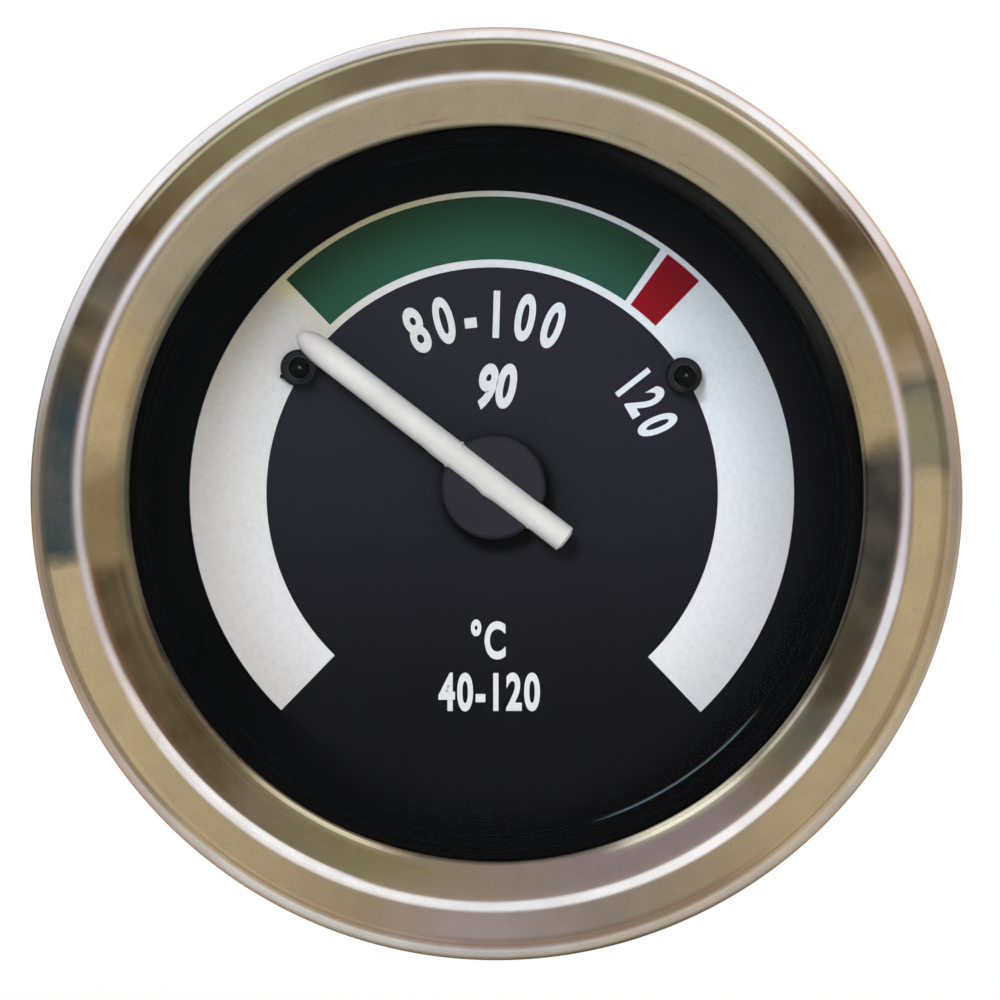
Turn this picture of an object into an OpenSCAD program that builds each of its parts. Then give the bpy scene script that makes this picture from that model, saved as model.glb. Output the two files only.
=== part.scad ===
// Engine temperature gauge for a round panel hole, as an assembly of separate pieces.
// The modules are drawn as the dial is read: x to the right, y up, z towards the reader,
// with z = 0 on the panel's front. stand() turns that upright, so the dial faces -Y.

/* [Bezel] */
// Distance by which the bezel stands out beyond the case's barrel
bezel_overhang = 4.25; // [3.75:0.05:5]
// Width of the bezel from its rim in to its crest line
outer_band_w = 3.45; // [3.2:0.05:3.7]
// Width of the bezel from its crest line in to the window
inner_band_w = 2.85; // [2.5:0.05:3.2]
// Thickness of the bezel's sheet
bezel_sheet = 0.5; // [0.4:0.05:0.55]
// Slope of the band inside the crest, in degrees
inner_tilt = 30; // [26:1:34]
// Slope of the band outside the crest, in degrees
outer_tilt = 20; // [17:1:23]
// Radius of the crest
crest_round = 1; // [0.9:0.05:1.2]
// Radius of the bead along the rim
bead_round = 0.65; // [0.6:0.05:0.8]
// Width of the lip that is rolled in behind the case
rear_lip = 2.4; // [2:0.1:2.8]

/* [Lens and inner ring] */
// Thickness of the glass
lens_t = 1.7; // [1.4:0.1:2.2]
// Thickness of the inner ring's flange under the glass
ring_flange_t = 0.4; // [0.3:0.1:0.8]
// Distance from the back of the glass to the dial
dial_room = 5.2; // [5:0.1:6]
// Wall of the inner ring, where it meets the dial
ring_wall = 2.425; // [2.2:0.025:2.7]
// Width of each of the two steps in the inner ring's wall
ring_step = 0.4; // [0.25:0.05:0.45]

/* [Case] */
// Outer diameter of the case's barrel
barrel_d = 51.5; // [51.3:0.1:51.9]
// Wall of the case
case_wall = 0.8; // [0.6:0.05:0.9]
// Depth of the case behind the panel's front
case_depth = 34; // [33:0.5:38]
// Outer radius of the corner round the case's back
case_corner = 2; // [1.5:0.1:2.5]

/* [Dial] */
// Thickness of the dial
dial_t = 0.7; // [0.5:0.1:1]
// Thickness of the printed scale
print_t = 0.06; // [0.04:0.01:0.1]
// Room between the inner ring and the scale band
scale_margin = 2.57; // [2.2:0.05:3]
// Width of the scale band
band_w = 5.01; // [4.6:0.05:5.4]
// Width of the pale line round the coloured zones
zone_line = 0.53; // [0.4:0.05:0.7]
// Angle at which the scale band starts, lower left
band_from = 225.7; // [222:0.1:229]
// Angle at which the scale band ends, lower right
band_to = -46.4; // [-50:0.1:-43]
// Angle at which the normal zone starts
normal_from = 133.5; // [128:0.5:138]
// Angle at which the normal zone ends
normal_to = 55.5; // [55:0.1:60]
// Angle at which the stop zone starts
stop_from = 53.3; // [52:0.1:54]
// Angle at which the stop zone ends
stop_to = 45.75; // [43:0.1:48]

/* [Pointer] */
// Height of the spindle above the middle of the dial
spindle_rise = 0.4; // [0:0.1:0.6]
// Diameter of the spindle
spindle_d = 1; // [0.8:0.1:1.2]
// Distance of the pointer's tip inside the scale band's outer edge
tip_margin = 3.58; // [3:0.05:4]
// Distance from the spindle to the pointer's tail
tail_reach = 5.7; // [5:0.1:6.5]
// Width of the pointer
pointer_w = 1.8; // [1.5:0.1:2]
// Thickness of the pointer
pointer_t = 1.3; // [1:0.1:1.4]
// Room between the dial and the underside of the pointer
pointer_lift = 1.5; // [1.4:0.1:1.7]
// Angle of the pointer at rest, in degrees from three o'clock
rest_angle = 142.4; // [140:0.2:145]
// Diameter of the hub
hub_d = 6.8; // [6:0.1:7.2]
// Diameter of the stop pins
stop_pin_d = 1.2; // [1:0.1:1.3]
// Diameter of the rubber collars on the stop pins
buffer_d = 2.35; // [2.1:0.05:2.6]
// Distance of the low stop pin's circle outside the scale band's inner edge
low_pin_out = 0.08; // [0:0.02:0.3]
// Distance of the high stop pin's circle inside the scale band's inner edge
high_pin_in = 0.32; // [0.1:0.02:0.5]
// Turn of the pointer from the low stop to the high stop, in degrees
sweep = 106; // [100:1:110]

/* [Movement] */
// Thickness of the carrier plate behind the dial
carrier_t = 1.8; // [1.4:0.1:2.2]
// Length of the bobbin
bobbin_l = 12; // [11.5:0.25:12.5]
// Width of the bobbin
bobbin_w = 18.4; // [18:0.1:18.8]
// Width of one half of a coil
coil_w = 5.5; // [5:0.1:5.8]
// Depth of a coil's winding
coil_t = 1.2; // [1:0.05:1.3]
// Width of the passage between the halves of a coil
coil_gap = 4; // [3.9:0.1:4.4]
// Diameter of the rotor magnet
rotor_d = 9; // [8:0.5:10]
// Thickness of the rotor magnet
rotor_t = 4; // [3:0.5:4.5]
// Diameter of the bearings
bearing_d = 3.4; // [3:0.1:3.6]
// Wall of the shield can
shield_wall = 0.8; // [0.6:0.1:1]
// Thickness of the base plate
base_t = 1.6; // [1.2:0.1:2]

/* [Fixings] */
// Diameter of the two fixing studs
stud_d = 4; // [3.8:0.1:4.2]
// Distance between the two fixing studs
stud_pitch = 29; // [28.5:0.5:30]
// Length of the studs behind the case
stud_out = 16; // [15:0.5:19]
// Across flats of the hexagon nuts
hex_af = 7; // [6.6:0.1:7.4]
// Thickness of the hexagon nuts
hex_t = 2.2; // [1.8:0.1:2.4]
// Thickness of the plain washers
washer_t = 0.8; // [0.5:0.1:1]
// Diameter of the knurled nuts
knurl_d = 10; // [9:0.25:10.5]
// Thickness of the knurled nuts, with their hub
thumb_t = 5; // [4.5:0.1:5.5]
// Thickness of the spring washers
spring_t = 0.9; // [0.7:0.1:1.1]

/* [Clamp bracket] */
// Thickness of the bracket's strip
strip_t = 1.5; // [1.2:0.1:1.6]
// Width of the bracket's strip
strip_w = 12; // [10:0.5:13]
// Room between the barrel and each of the bracket's legs
leg_room = 1.45; // [1.3:0.05:1.5]
// Room between the case's back and the bracket
bracket_room = 5; // [4.8:0.1:5.5]
// Room for the panel, between the bezel and the bracket's feet
panel_room = 5.5; // [5:0.5:8]

/* [Terminals and lamp] */
// Width of the blade terminals
blade_w = 6.3; // [5.8:0.1:6.5]
// Thickness of the blade terminals
blade_t = 0.8; // [0.6:0.1:1]
// Length of the blades outside the board
blade_out = 9; // [8:0.5:11]
// Distance between the blades
blade_pitch = 9; // [8.9:0.1:9.3]
// Distance of the blades from the barrel's side below them
blade_inset = 11.75; // [11.25:0.25:12.25]
// Thickness of the terminal board
board_t = 1.6; // [1.2:0.1:2]
// Distance of the lamp's axis from the barrel's side above it
lamp_inset = 10.25; // [9.75:0.25:10.75]
// Outer diameter of the lamp socket
socket_d = 10.2; // [9.6:0.1:10.4]
// Sheet of the lamp socket
socket_sheet = 0.4; // [0.3:0.05:0.5]
// Length of the lamp socket behind the case
socket_out = 9; // [8.5:0.25:10.5]
// Length of the bulb's glass inside the case
bulb_in = 6; // [5:0.25:6]

/* [Hidden] */
$fn = 96;

// Clearances
slip = 0.05;          // between a piece and what slides or turns on it
play = 0.25;          // between pieces that only have to pass each other
seat_gap = 0.3;       // between a soft or round piece and its seat
stop_gap = 0.05;      // between the pointer and a stop pin

// Heights, from the panel's front towards the reader
lip_round = 0.7;      // outer radius of the bend at the window
lip_rise = 0.3;       // from the glass to that bend
groove_round = 0.25;  // radius of the groove beside the bead
groove_turn = 125;    // direction of the surface where the groove meets the bead
rear_round = 0.7;     // outer radius of the bend to the rear lip
flange_rear = bezel_sheet;
flange_front = flange_rear + case_wall;
lens_rear = flange_front + ring_flange_t;
lens_front = lens_rear + lens_t;
dial_front = lens_rear - dial_room;
dial_rear = dial_front - dial_t;
carrier_rear = dial_rear - carrier_t;
pointer_rear = dial_front + pointer_lift;
pointer_front = pointer_rear + pointer_t;
case_inside = case_wall - case_depth;

// Radii in the front
barrel_r = barrel_d / 2;
bezel_r = barrel_r + bezel_overhang;
crest_r = bezel_r - outer_band_w;
opening_r = crest_r - inner_band_w;
wall_r = bezel_r - bezel_sheet;         // inside of the bezel's side wall
lens_r = wall_r - 2 * play;
flange_r = wall_r - play;
bore_r = barrel_r - case_wall;
flange_bend = 0.3;                      // inner radius of the case's bend to its flange
ring_r = bore_r - play / 2;
ring_inner_r = ring_r - ring_wall;
dial_r = bore_r - play;
dial_hole_r = 1.6;
band_outer_r = ring_inner_r - scale_margin;
band_inner_r = band_outer_r - band_w;
blade_drop = barrel_r - blade_inset;
lamp_rise = barrel_r - lamp_inset;

// Bezel's front surface: centres of its arcs, each tangent to the next
inner_normal = 90 + inner_tilt;
outer_normal = 90 - outer_tilt;
function toward(a) = [cos(a), sin(a)];
lip_centre = [opening_r + lip_round, lens_front + lip_rise];
crest_centre = [
    crest_r,
    lip_centre.y - ((crest_r - lip_centre.x) * cos(inner_normal) + crest_round - lip_round)
        / sin(inner_normal)
];
bead_r = bezel_r - bead_round;
bead_centre = [
    bead_r,
    crest_centre.y + (crest_round + groove_round - (bead_r - crest_r) * cos(outer_normal)
        - (groove_round + bead_round) * cos(groove_turn - outer_normal)) / sin(outer_normal)
];
groove_centre = bead_centre + (groove_round + bead_round) * toward(groove_turn);
rear_centre = [bezel_r - rear_round, rear_round];

// Gasket cord: it fills the corner over the glass, under the band outside the crest
gasket_seat_r = bead_r - 1.1;
band_underside = crest_centre.y + (crest_round - bezel_sheet) / sin(outer_normal)
    - (gasket_seat_r - crest_r) * tan(outer_tilt);
gasket_d = (band_underside - lens_front) / (1 + (1 / cos(outer_tilt) - 1) / 2) - slip;

// Pointer and its stops
hub_r = hub_d / 2;
hub_rear = dial_front + 0.4;
hub_front = pointer_rear + 0.7;
hub_boss_d = 2.4;
hub_boss_rear = dial_rear - 0.3;
spindle_r = spindle_d / 2;
tip_reach = band_outer_r - tip_margin;
pin_r = stop_pin_d / 2;
low_pin_r = band_inner_r + low_pin_out;
high_pin_r = band_inner_r - high_pin_in;
side_reach = pointer_w / 2 + pin_r + stop_gap;
low_pin_angle = rest_angle + asin(side_reach / low_pin_r);
high_pin_angle = rest_angle - sweep - asin(side_reach / high_pin_r);
pin_places = [
    low_pin_r * toward(low_pin_angle) + [0, spindle_rise],
    high_pin_r * toward(high_pin_angle) + [0, spindle_rise]
];
pin_front = pointer_front + 0.05;
pin_head_r = pin_r + 0.4;
pin_head_t = 0.5;
buffer_front = pointer_rear - 0.25;

// Movement, from the dial backwards
outer_coil_front = carrier_rear - 0.6;
inner_coil_front = outer_coil_front - coil_t;
bobbin_front_z = inner_coil_front - coil_t;
bobbin_mid = bobbin_front_z - bobbin_l / 2;
bobbin_rear_z = bobbin_front_z - bobbin_l;
outer_coil_rear = bobbin_rear_z - 2 * coil_t;
shield_floor = outer_coil_rear - 0.4;
base_front = shield_floor - shield_wall;
base_rear = base_front - base_t;
bobbin_half = bobbin_w / 2;
coil_edge = coil_gap / 2 + coil_w;
foot_w = bobbin_half - coil_edge - slip;
bobbin_corner = 0.6;
shield_inner_r = max(norm([bobbin_half + coil_t, coil_edge]),
                     norm([bobbin_half, bobbin_half]) - bobbin_corner / 2) + seat_gap;
rotor_room = 0.7;
bearing_r = bearing_d / 2;
bearing_l = 2.6;
spindle_rear = bobbin_rear_z + 0.5;
return_magnet_l = 8;
base_top = 10;
base_corner = 4;
base_waist = 6;

// Series resistor behind the base plate
resistor_y = 6;
resistor_r = 1.5;
resistor_half = 3.5;
resistor_reach = 6;
resistor_z = base_rear - resistor_r - seat_gap;
lead_r = 0.35;

// Back of the case
stud_x = stud_pitch / 2;
stud_r = stud_d / 2;
stud_hole_r = stud_r + 0.2;
sleeve_r = stud_r + 1.5;
washer_rim = 2.5;
washer_r = stud_r + washer_rim;
washer_rear = -case_depth - washer_t;
hex_rear = washer_rear - hex_t;
hex_r = hex_af / 2 / cos(30);
bracket_front = -case_depth - bracket_room;
bracket_rear = bracket_front - strip_t;
leg_x = barrel_r + leg_room;
foot_z = -panel_room;
spring_rear = bracket_rear - spring_t;
spring_r = stud_r + 1.6;
thumb_rear = spring_rear - thumb_t;
knurl_t = thumb_t * 0.6;
knurl_teeth = 30;
knurl_depth = 0.35;
thumb_hub_r = stud_r + 1.6;
blade_xs = [-blade_pitch, 0, blade_pitch];
board_rear = -case_depth - board_t;
board_size = [2 * blade_pitch + blade_w + 4.6, blade_w + 2.4];
rivet_r = 0.8;
rivet_head_r = 1.25;
rivet_head_t = 0.5;
slot_size = [blade_w + 1.4, blade_t + 1.8];
tail_w = 4;
socket_r = socket_d / 2;
socket_in = 2.6;
socket_rear = -case_depth - socket_out;
socket_flange_r = socket_r + 1.4;
socket_flange_t = 0.6;
insulator_t = 1.4;
contact_r = 1.2;
contact_blade_w = 4.8;
contact_blade_l = 7;
cap_r = socket_r - socket_sheet - slip;
cap_rear = socket_rear + insulator_t + 0.3;
cap_front = case_inside - 0.2;
bulb_r = cap_r - 0.6;

// Turns the dial's own axes upright: z towards the reader becomes -Y
module stand() {
    rotate([90, 0, 0]) children();
}

// Points along an arc, from angle a0 to a1
function arc(centre, r, a0, a1, steps) =
    [for (i = [0:steps]) centre + r * toward(a0 + (a1 - a0) * i / steps)];

function reversed(list) = [for (i = [len(list) - 1:-1:0]) list[i]];

// One side of the bezel's sheet, inset by s from the face that shows
function bezel_line(s) = concat(
    arc(lip_centre, lip_round - s, 180, inner_normal, 6),
    arc(crest_centre, crest_round - s, inner_normal, outer_normal, 8),
    arc(groove_centre, groove_round + s, outer_normal + 180, groove_turn + 180, 5),
    arc(bead_centre, bead_round - s, groove_turn, 0, 10),
    arc(rear_centre, rear_round - s, 0, -90, 8)
);

// A turned ring or cylinder from z = low to z = high
module tube(low, high, outer_r, inner_r) {
    translate([0, 0, low]) difference() {
        cylinder(h = high - low, r = outer_r);
        translate([0, 0, -1]) cylinder(h = high - low + 2, r = inner_r);
    }
}

module rod(low, high, r) {
    translate([0, 0, low]) cylinder(h = high - low, r = r);
}

module box(low, high) {
    translate(low) cube(high - low);
}

// Part of a flat ring, from angle a0 down to a1
module sector(a0, a1, outer_r, inner_r, t) {
    rotate([0, 0, a1]) rotate_extrude(angle = a0 - a1)
        translate([inner_r, 0]) square([outer_r - inner_r, t]);
}

module at_pins() {
    for (p = pin_places) translate([p.x, p.y, 0]) children();
}

module at_studs() {
    for (side = [-1, 1]) translate([side * stud_x, 0, 0]) children();
}

module at_blades() {
    for (x = blade_xs) translate([x, -blade_drop, 0]) children();
}

module at_rivets() {
    for (side = [-1, 1]) translate([side * blade_pitch / 2, -blade_drop, 0]) children();
}

module at_lamp() {
    translate([0, lamp_rise, 0]) children();
}

module at_spindle() {
    translate([0, spindle_rise, 0]) children();
}

// Front of the gauge

module bezel() {
    color([0.74, 0.69, 0.60]) rotate_extrude() polygon(concat(
        [[opening_r, lens_front + slip]],
        bezel_line(0),
        [[bezel_r - rear_lip, 0], [bezel_r - rear_lip, bezel_sheet]],
        reversed(bezel_line(bezel_sheet)),
        [[opening_r + bezel_sheet, lens_front + slip]]
    ));
}

module lens_gasket() {
    color([0.09, 0.09, 0.09]) translate([0, 0, lens_front + gasket_d / 2])
        rotate_extrude() translate([gasket_seat_r, 0]) circle(r = gasket_d / 2);
}

module lens() {
    color([0.86, 0.92, 0.92, 0.35]) rod(lens_rear, lens_front, lens_r);
}

// Black ring between glass and dial, its wall stepped inwards towards the dial
module inner_ring() {
    step_r = ring_inner_r;
    low_step = dial_front + 0.7;
    high_step = dial_front + 3;
    bevel = 0.2;
    color([0.05, 0.05, 0.055]) rotate_extrude() polygon([
        [lens_r, flange_front],
        [lens_r, lens_rear],
        [step_r + 3 * ring_step, lens_rear],
        [step_r + 2 * ring_step, lens_rear - 2 * bevel],
        [step_r + 2 * ring_step, high_step + bevel],
        [step_r + ring_step, high_step],
        [step_r + ring_step, low_step + bevel],
        [step_r, low_step],
        [step_r, dial_front],
        [ring_r, dial_front],
        [ring_r, flange_front]
    ]);
}

// Drawn can: flange, barrel and back in one sheet
module case_shell() {
    bend = [barrel_r + flange_bend, flange_rear - flange_bend];
    corner = [barrel_r - case_corner, case_corner - case_depth];
    rotate_extrude() polygon(concat(
        [[flange_r, flange_rear], [flange_r, flange_front]],
        arc(bend, flange_bend + case_wall, 90, 180, 6),
        arc(corner, case_corner - case_wall, 0, -90, 6),
        [[0, case_inside], [0, -case_depth]],
        arc(corner, case_corner, -90, 0, 8),
        arc(bend, flange_bend, 180, 90, 4)
    ));
}

module case_can() {
    cut_low = -case_depth - 1;
    cut_high = case_inside + 1;
    color([0.62, 0.62, 0.58]) difference() {
        case_shell();
        at_studs() rod(cut_low, cut_high, stud_hole_r);
        at_lamp() rod(cut_low, cut_high, socket_r + slip);
        at_rivets() rod(cut_low, cut_high, rivet_r + slip);
        at_blades() box([-slot_size.x / 2, -slot_size.y / 2, cut_low],
                        [slot_size.x / 2, slot_size.y / 2, cut_high]);
    }
}

// Dial and its stops

module dial() {
    color([0.07, 0.07, 0.085]) difference() {
        rod(dial_rear, dial_front, dial_r);
        at_spindle() rod(dial_rear - 1, dial_front + 1, dial_hole_r);
        at_pins() rod(dial_rear - 1, dial_front + 1, pin_r + slip);
    }
}

module zone(a0, a1) {
    translate([0, 0, dial_front])
        sector(a0, a1, band_outer_r - zone_line, band_inner_r + zone_line, print_t);
}

// White print, open under the coloured zones and the stop pins
module scale_band() {
    color([0.86, 0.87, 0.86]) difference() {
        translate([0, 0, dial_front])
            sector(band_from, band_to, band_outer_r, band_inner_r, print_t);
        translate([0, 0, dial_front - 1]) {
            sector(normal_from, normal_to, band_outer_r - zone_line,
                   band_inner_r + zone_line, print_t + 2);
            sector(stop_from, stop_to, band_outer_r - zone_line,
                   band_inner_r + zone_line, print_t + 2);
        }
        at_pins() rod(dial_front - 1, dial_front + 1, buffer_d / 2 + slip);
    }
}

module normal_zone() {
    color([0.09, 0.33, 0.20]) zone(normal_from, normal_to);
}

module stop_zone() {
    color([0.58, 0.06, 0.10]) zone(stop_from, stop_to);
}

// Pin with a domed end, riveted over behind the carrier plate
module stop_pin() {
    dome = pin_r * 0.55;
    ball_r = (pin_r * pin_r + dome * dome) / (2 * dome);
    rod(carrier_rear, pin_front - dome, pin_r);
    rod(carrier_rear - pin_head_t, carrier_rear, pin_head_r);
    intersection() {
        translate([0, 0, pin_front - ball_r]) sphere(r = ball_r);
        rod(pin_front - dome, pin_front + 1, pin_r);
    }
}

module stop_pins() {
    color([0.05, 0.05, 0.05]) at_pins() stop_pin();
}

module stop_buffers() {
    edge = 0.3;
    outer_r = buffer_d / 2;
    color([0.07, 0.07, 0.07]) at_pins() rotate_extrude() polygon(concat(
        [[pin_r + slip, dial_front], [outer_r, dial_front]],
        arc([outer_r - edge, buffer_front - edge], edge, 0, 90, 6),
        [[pin_r + slip, buffer_front]]
    ));
}

// Pointer, drawn along +x and turned to its place at rest

module at_rest_angle() {
    at_spindle() rotate([0, 0, rest_angle]) children();
}

// Bar with a low round top, cut to a round nose at the tip
module pointer() {
    half = pointer_w / 2;
    shoulder = pointer_t * 0.5;
    crown = pointer_t - shoulder;
    crown_r = (half * half + crown * crown) / (2 * crown);
    nose = 2.2 * half;
    color([0.90, 0.89, 0.86]) at_rest_angle() translate([0, 0, pointer_rear]) intersection() {
        translate([-tail_reach, 0, 0]) rotate([90, 0, 90])
            linear_extrude(height = tail_reach + tip_reach) union() {
                translate([-half, 0]) square([pointer_w, shoulder]);
                intersection() {
                    translate([0, pointer_t - crown_r]) circle(r = crown_r);
                    translate([-half, 0]) square([pointer_w, pointer_t + 1]);
                }
            }
        linear_extrude(height = pointer_t + 1) polygon(concat(
            [[-tail_reach, -half], [tip_reach - nose, -half]],
            [for (a = [15:15:165]) [tip_reach - nose + nose * sin(a), -half * cos(a)]],
            [[tip_reach - nose, half], [-tail_reach, half]]
        ));
    }
}

module pointer_hub() {
    edge = 0.25;
    color([0.13, 0.13, 0.14]) at_rest_angle() difference() {
        union() {
            rod(hub_rear, hub_front - edge, hub_r);
            translate([0, 0, hub_front - edge]) cylinder(h = edge, r1 = hub_r, r2 = hub_r - edge);
            rod(hub_boss_rear, hub_rear, hub_boss_d / 2);
        }
        rod(hub_boss_rear - 1, pointer_rear, spindle_r + slip / 5);
        box([-hub_r - 1, -pointer_w / 2 - slip / 5, pointer_rear],
            [hub_r + 1, pointer_w / 2 + slip / 5, hub_front + 1]);
    }
}

module spindle() {
    color([0.68, 0.68, 0.70]) at_spindle() rod(spindle_rear, pointer_rear, spindle_r);
}

module rotor_magnet() {
    color([0.22, 0.22, 0.24]) at_spindle()
        tube(bobbin_mid - rotor_t / 2, bobbin_mid + rotor_t / 2, rotor_d / 2,
             spindle_r + slip / 5);
}

// Movement

// Plate that carries the dial, with light windows behind the scale band
module carrier_plate() {
    window_r = (band_inner_r + band_outer_r) / 2;
    window_w = 2.4;
    color([0.16, 0.16, 0.17]) difference() {
        rod(carrier_rear, dial_rear, dial_r);
        at_spindle() rod(carrier_rear - 1, dial_rear + 1, bearing_r + slip);
        at_pins() rod(carrier_rear - 1, dial_rear + 1, pin_r + slip);
        for (a = [20, 90, 160, 270]) translate([0, 0, carrier_rear - 1])
            sector(a + 18, a - 18, window_r + window_w, window_r, carrier_t + 2);
    }
}

// Half of the bobbin: a block with a round pocket for the rotor and four corner posts
module bobbin_half_block(bearing_depth) {
    posts = 2 * coil_t;
    at_corners = [for (x = [-1, 1], y = [-1, 1]) [x, y]];
    difference() {
        union() {
            box([-bobbin_half, -bobbin_half, 0], [bobbin_half, bobbin_half, bobbin_l / 2]);
            for (c = at_corners) translate([c.x * (bobbin_half - foot_w / 2),
                                            c.y * (bobbin_half - foot_w / 2), bobbin_l / 2])
                box([-foot_w / 2, -foot_w / 2, 0], [foot_w / 2, foot_w / 2, posts + bearing_depth]);
        }
        rod(-1, rotor_t / 2 + rotor_room, rotor_d / 2 + rotor_room);
        rod(-1, bobbin_l, bearing_r + slip / 5);
        for (c = at_corners) translate([c.x * bobbin_half, c.y * bobbin_half, -1])
            rotate([0, 0, 45]) box([-bobbin_corner, -bobbin_corner, 0],
                                   [bobbin_corner, bobbin_corner, bobbin_l + 9]);
    }
}

module bobbin_front() {
    color([0.85, 0.84, 0.78]) at_spindle() translate([0, 0, bobbin_mid])
        bobbin_half_block(carrier_rear - outer_coil_front);
}

module bobbin_rear() {
    color([0.80, 0.79, 0.73]) at_spindle() translate([0, 0, bobbin_mid]) rotate([180, 0, 0])
        bobbin_half_block(outer_coil_rear - shield_floor);
}

// Half of a coil: a rectangular hoop round the bobbin, length along x
module coil_half(inner_half_x, low, high) {
    hoop = inner_half_x + coil_t;
    difference() {
        box([-hoop, coil_gap / 2, low - coil_t], [hoop, coil_edge, high + coil_t]);
        box([-inner_half_x, coil_gap / 2 - 1, low], [inner_half_x, coil_edge + 1, high]);
    }
}

module inner_coil() {
    color([0.66, 0.34, 0.16]) at_spindle() for (side = [0, 180]) rotate([0, 0, side])
        coil_half(bobbin_half, bobbin_rear_z, bobbin_front_z);
}

module outer_coil() {
    color([0.72, 0.38, 0.18]) at_spindle() for (side = [90, 270]) rotate([0, 0, side])
        coil_half(bobbin_half, bobbin_rear_z - coil_t, inner_coil_front);
}

module front_bearing() {
    color([0.72, 0.60, 0.32]) at_spindle()
        tube(bobbin_front_z - bearing_l / 2, dial_rear - 0.4, bearing_r, spindle_r + slip);
}

// Blind bearing: the spindle's foot stands on its floor
module rear_bearing() {
    color([0.72, 0.60, 0.32]) at_spindle() difference() {
        rod(bobbin_rear_z - 0.4, bobbin_rear_z + bearing_l, bearing_r);
        rod(spindle_rear - slip, bobbin_rear_z + bearing_l + 1, spindle_r + slip);
    }
}

// Bar magnet that draws the pointer back to the low stop
module return_magnet() {
    w = coil_gap - 2 * seat_gap;
    color([0.30, 0.30, 0.33]) at_spindle()
        box([-w / 2, bobbin_half, bobbin_mid - return_magnet_l / 2],
            [w / 2, bobbin_half + coil_t, bobbin_mid + return_magnet_l / 2]);
}

module shield_can() {
    color([0.55, 0.55, 0.53]) at_spindle() difference() {
        rod(base_front, outer_coil_front, shield_inner_r + shield_wall);
        rod(shield_floor, outer_coil_front + 1, shield_inner_r);
    }
}

module base_plate() {
    half = stud_x + sleeve_r;
    foot = blade_pitch + blade_w / 2;
    bottom = blade_drop + 2.5;
    color([0.45, 0.36, 0.20]) difference() {
        translate([0, 0, base_rear]) linear_extrude(height = base_t) polygon([
            [-half, -base_waist], [-foot, -bottom], [foot, -bottom], [half, -base_waist],
            [half, base_waist], [half - base_corner, base_top],
            [base_corner - half, base_top], [-half, base_waist]
        ]);
        at_studs() rod(base_rear - 1, base_front + 1, stud_r + slip);
        for (x = [-resistor_reach, resistor_reach]) translate([x, resistor_y, 0])
            rod(base_rear - 1, base_front + 1, lead_r + slip);
    }
}

module series_resistor() {
    color([0.35, 0.45, 0.36]) translate([-resistor_half, resistor_y, resistor_z])
        rotate([0, 90, 0]) cylinder(h = 2 * resistor_half, r = resistor_r);
}

// Leads bent down into the base plate, with square corners
module resistor_leads() {
    color([0.80, 0.79, 0.76]) for (side = [-1, 1]) translate([0, resistor_y, 0]) {
        translate([side * (resistor_half + resistor_reach + lead_r) / 2, 0, resistor_z])
            rotate([0, 90, 0])
                cylinder(h = resistor_reach + lead_r - resistor_half, r = lead_r, center = true);
        translate([side * resistor_reach, 0, 0]) rod(resistor_z, base_front - slip, lead_r);
    }
}

// Back of the gauge

module stud_sleeves() {
    color([0.70, 0.70, 0.70]) at_studs() tube(case_inside, base_rear, sleeve_r, stud_r + slip);
}

module fixing_studs() {
    end_bevel = 0.6;
    stud_end = -case_depth - stud_out;
    color([0.72, 0.71, 0.66]) at_studs() {
        rod(stud_end + end_bevel, base_front, stud_r);
        translate([0, 0, stud_end]) cylinder(h = end_bevel, r1 = stud_r - end_bevel, r2 = stud_r);
    }
}

module plain_washers() {
    color([0.74, 0.73, 0.68]) at_studs()
        tube(washer_rear, -case_depth, washer_r, stud_r + slip);
}

module hexagon_nuts() {
    color([0.74, 0.72, 0.62]) at_studs() difference() {
        translate([0, 0, hex_rear]) cylinder(h = hex_t, r = hex_r, $fn = 6);
        rod(hex_rear - 1, washer_rear + 1, stud_r + slip);
    }
}

module terminal_board() {
    half = board_size / 2;
    color([0.24, 0.13, 0.08]) difference() {
        translate([0, -blade_drop, 0])
            box([-half.x, -half.y, board_rear], [half.x, half.y, -case_depth]);
        at_blades() box([-blade_w / 2 - slip, -blade_t / 2 - slip, board_rear - 1],
                        [blade_w / 2 + slip, blade_t / 2 + slip, -case_depth + 1]);
        at_rivets() rod(board_rear - 1, -case_depth + 1, rivet_r + slip);
    }
}

module board_rivets() {
    color([0.72, 0.62, 0.38]) at_rivets() {
        rod(board_rear, case_inside, rivet_r);
        rod(board_rear - rivet_head_t, board_rear, rivet_head_r);
        rod(case_inside, case_inside + rivet_head_t, rivet_head_r);
    }
}

// Blade with a latching hole and a chamfered end, and a narrow tail to the base plate
module blade() {
    hole_r = 0.9;
    end_z = board_rear - blade_out;
    nose = 1.2;
    rotate([90, 0, 0]) translate([0, 0, -blade_t / 2]) difference() {
        linear_extrude(height = blade_t) polygon([
            [-tail_w / 2, base_rear], [tail_w / 2, base_rear],
            [tail_w / 2, case_inside], [blade_w / 2, case_inside],
            [blade_w / 2, end_z + nose], [blade_w / 2 - nose, end_z],
            [nose - blade_w / 2, end_z], [-blade_w / 2, end_z + nose],
            [-blade_w / 2, case_inside], [-tail_w / 2, case_inside]
        ]);
        translate([0, end_z + 3.6, -1]) cylinder(h = blade_t + 2, r = hole_r);
    }
}

module blade_at(i) {
    color([0.80, 0.72, 0.48]) translate([blade_xs[i], -blade_drop, 0]) blade();
}

// Clamp

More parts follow.
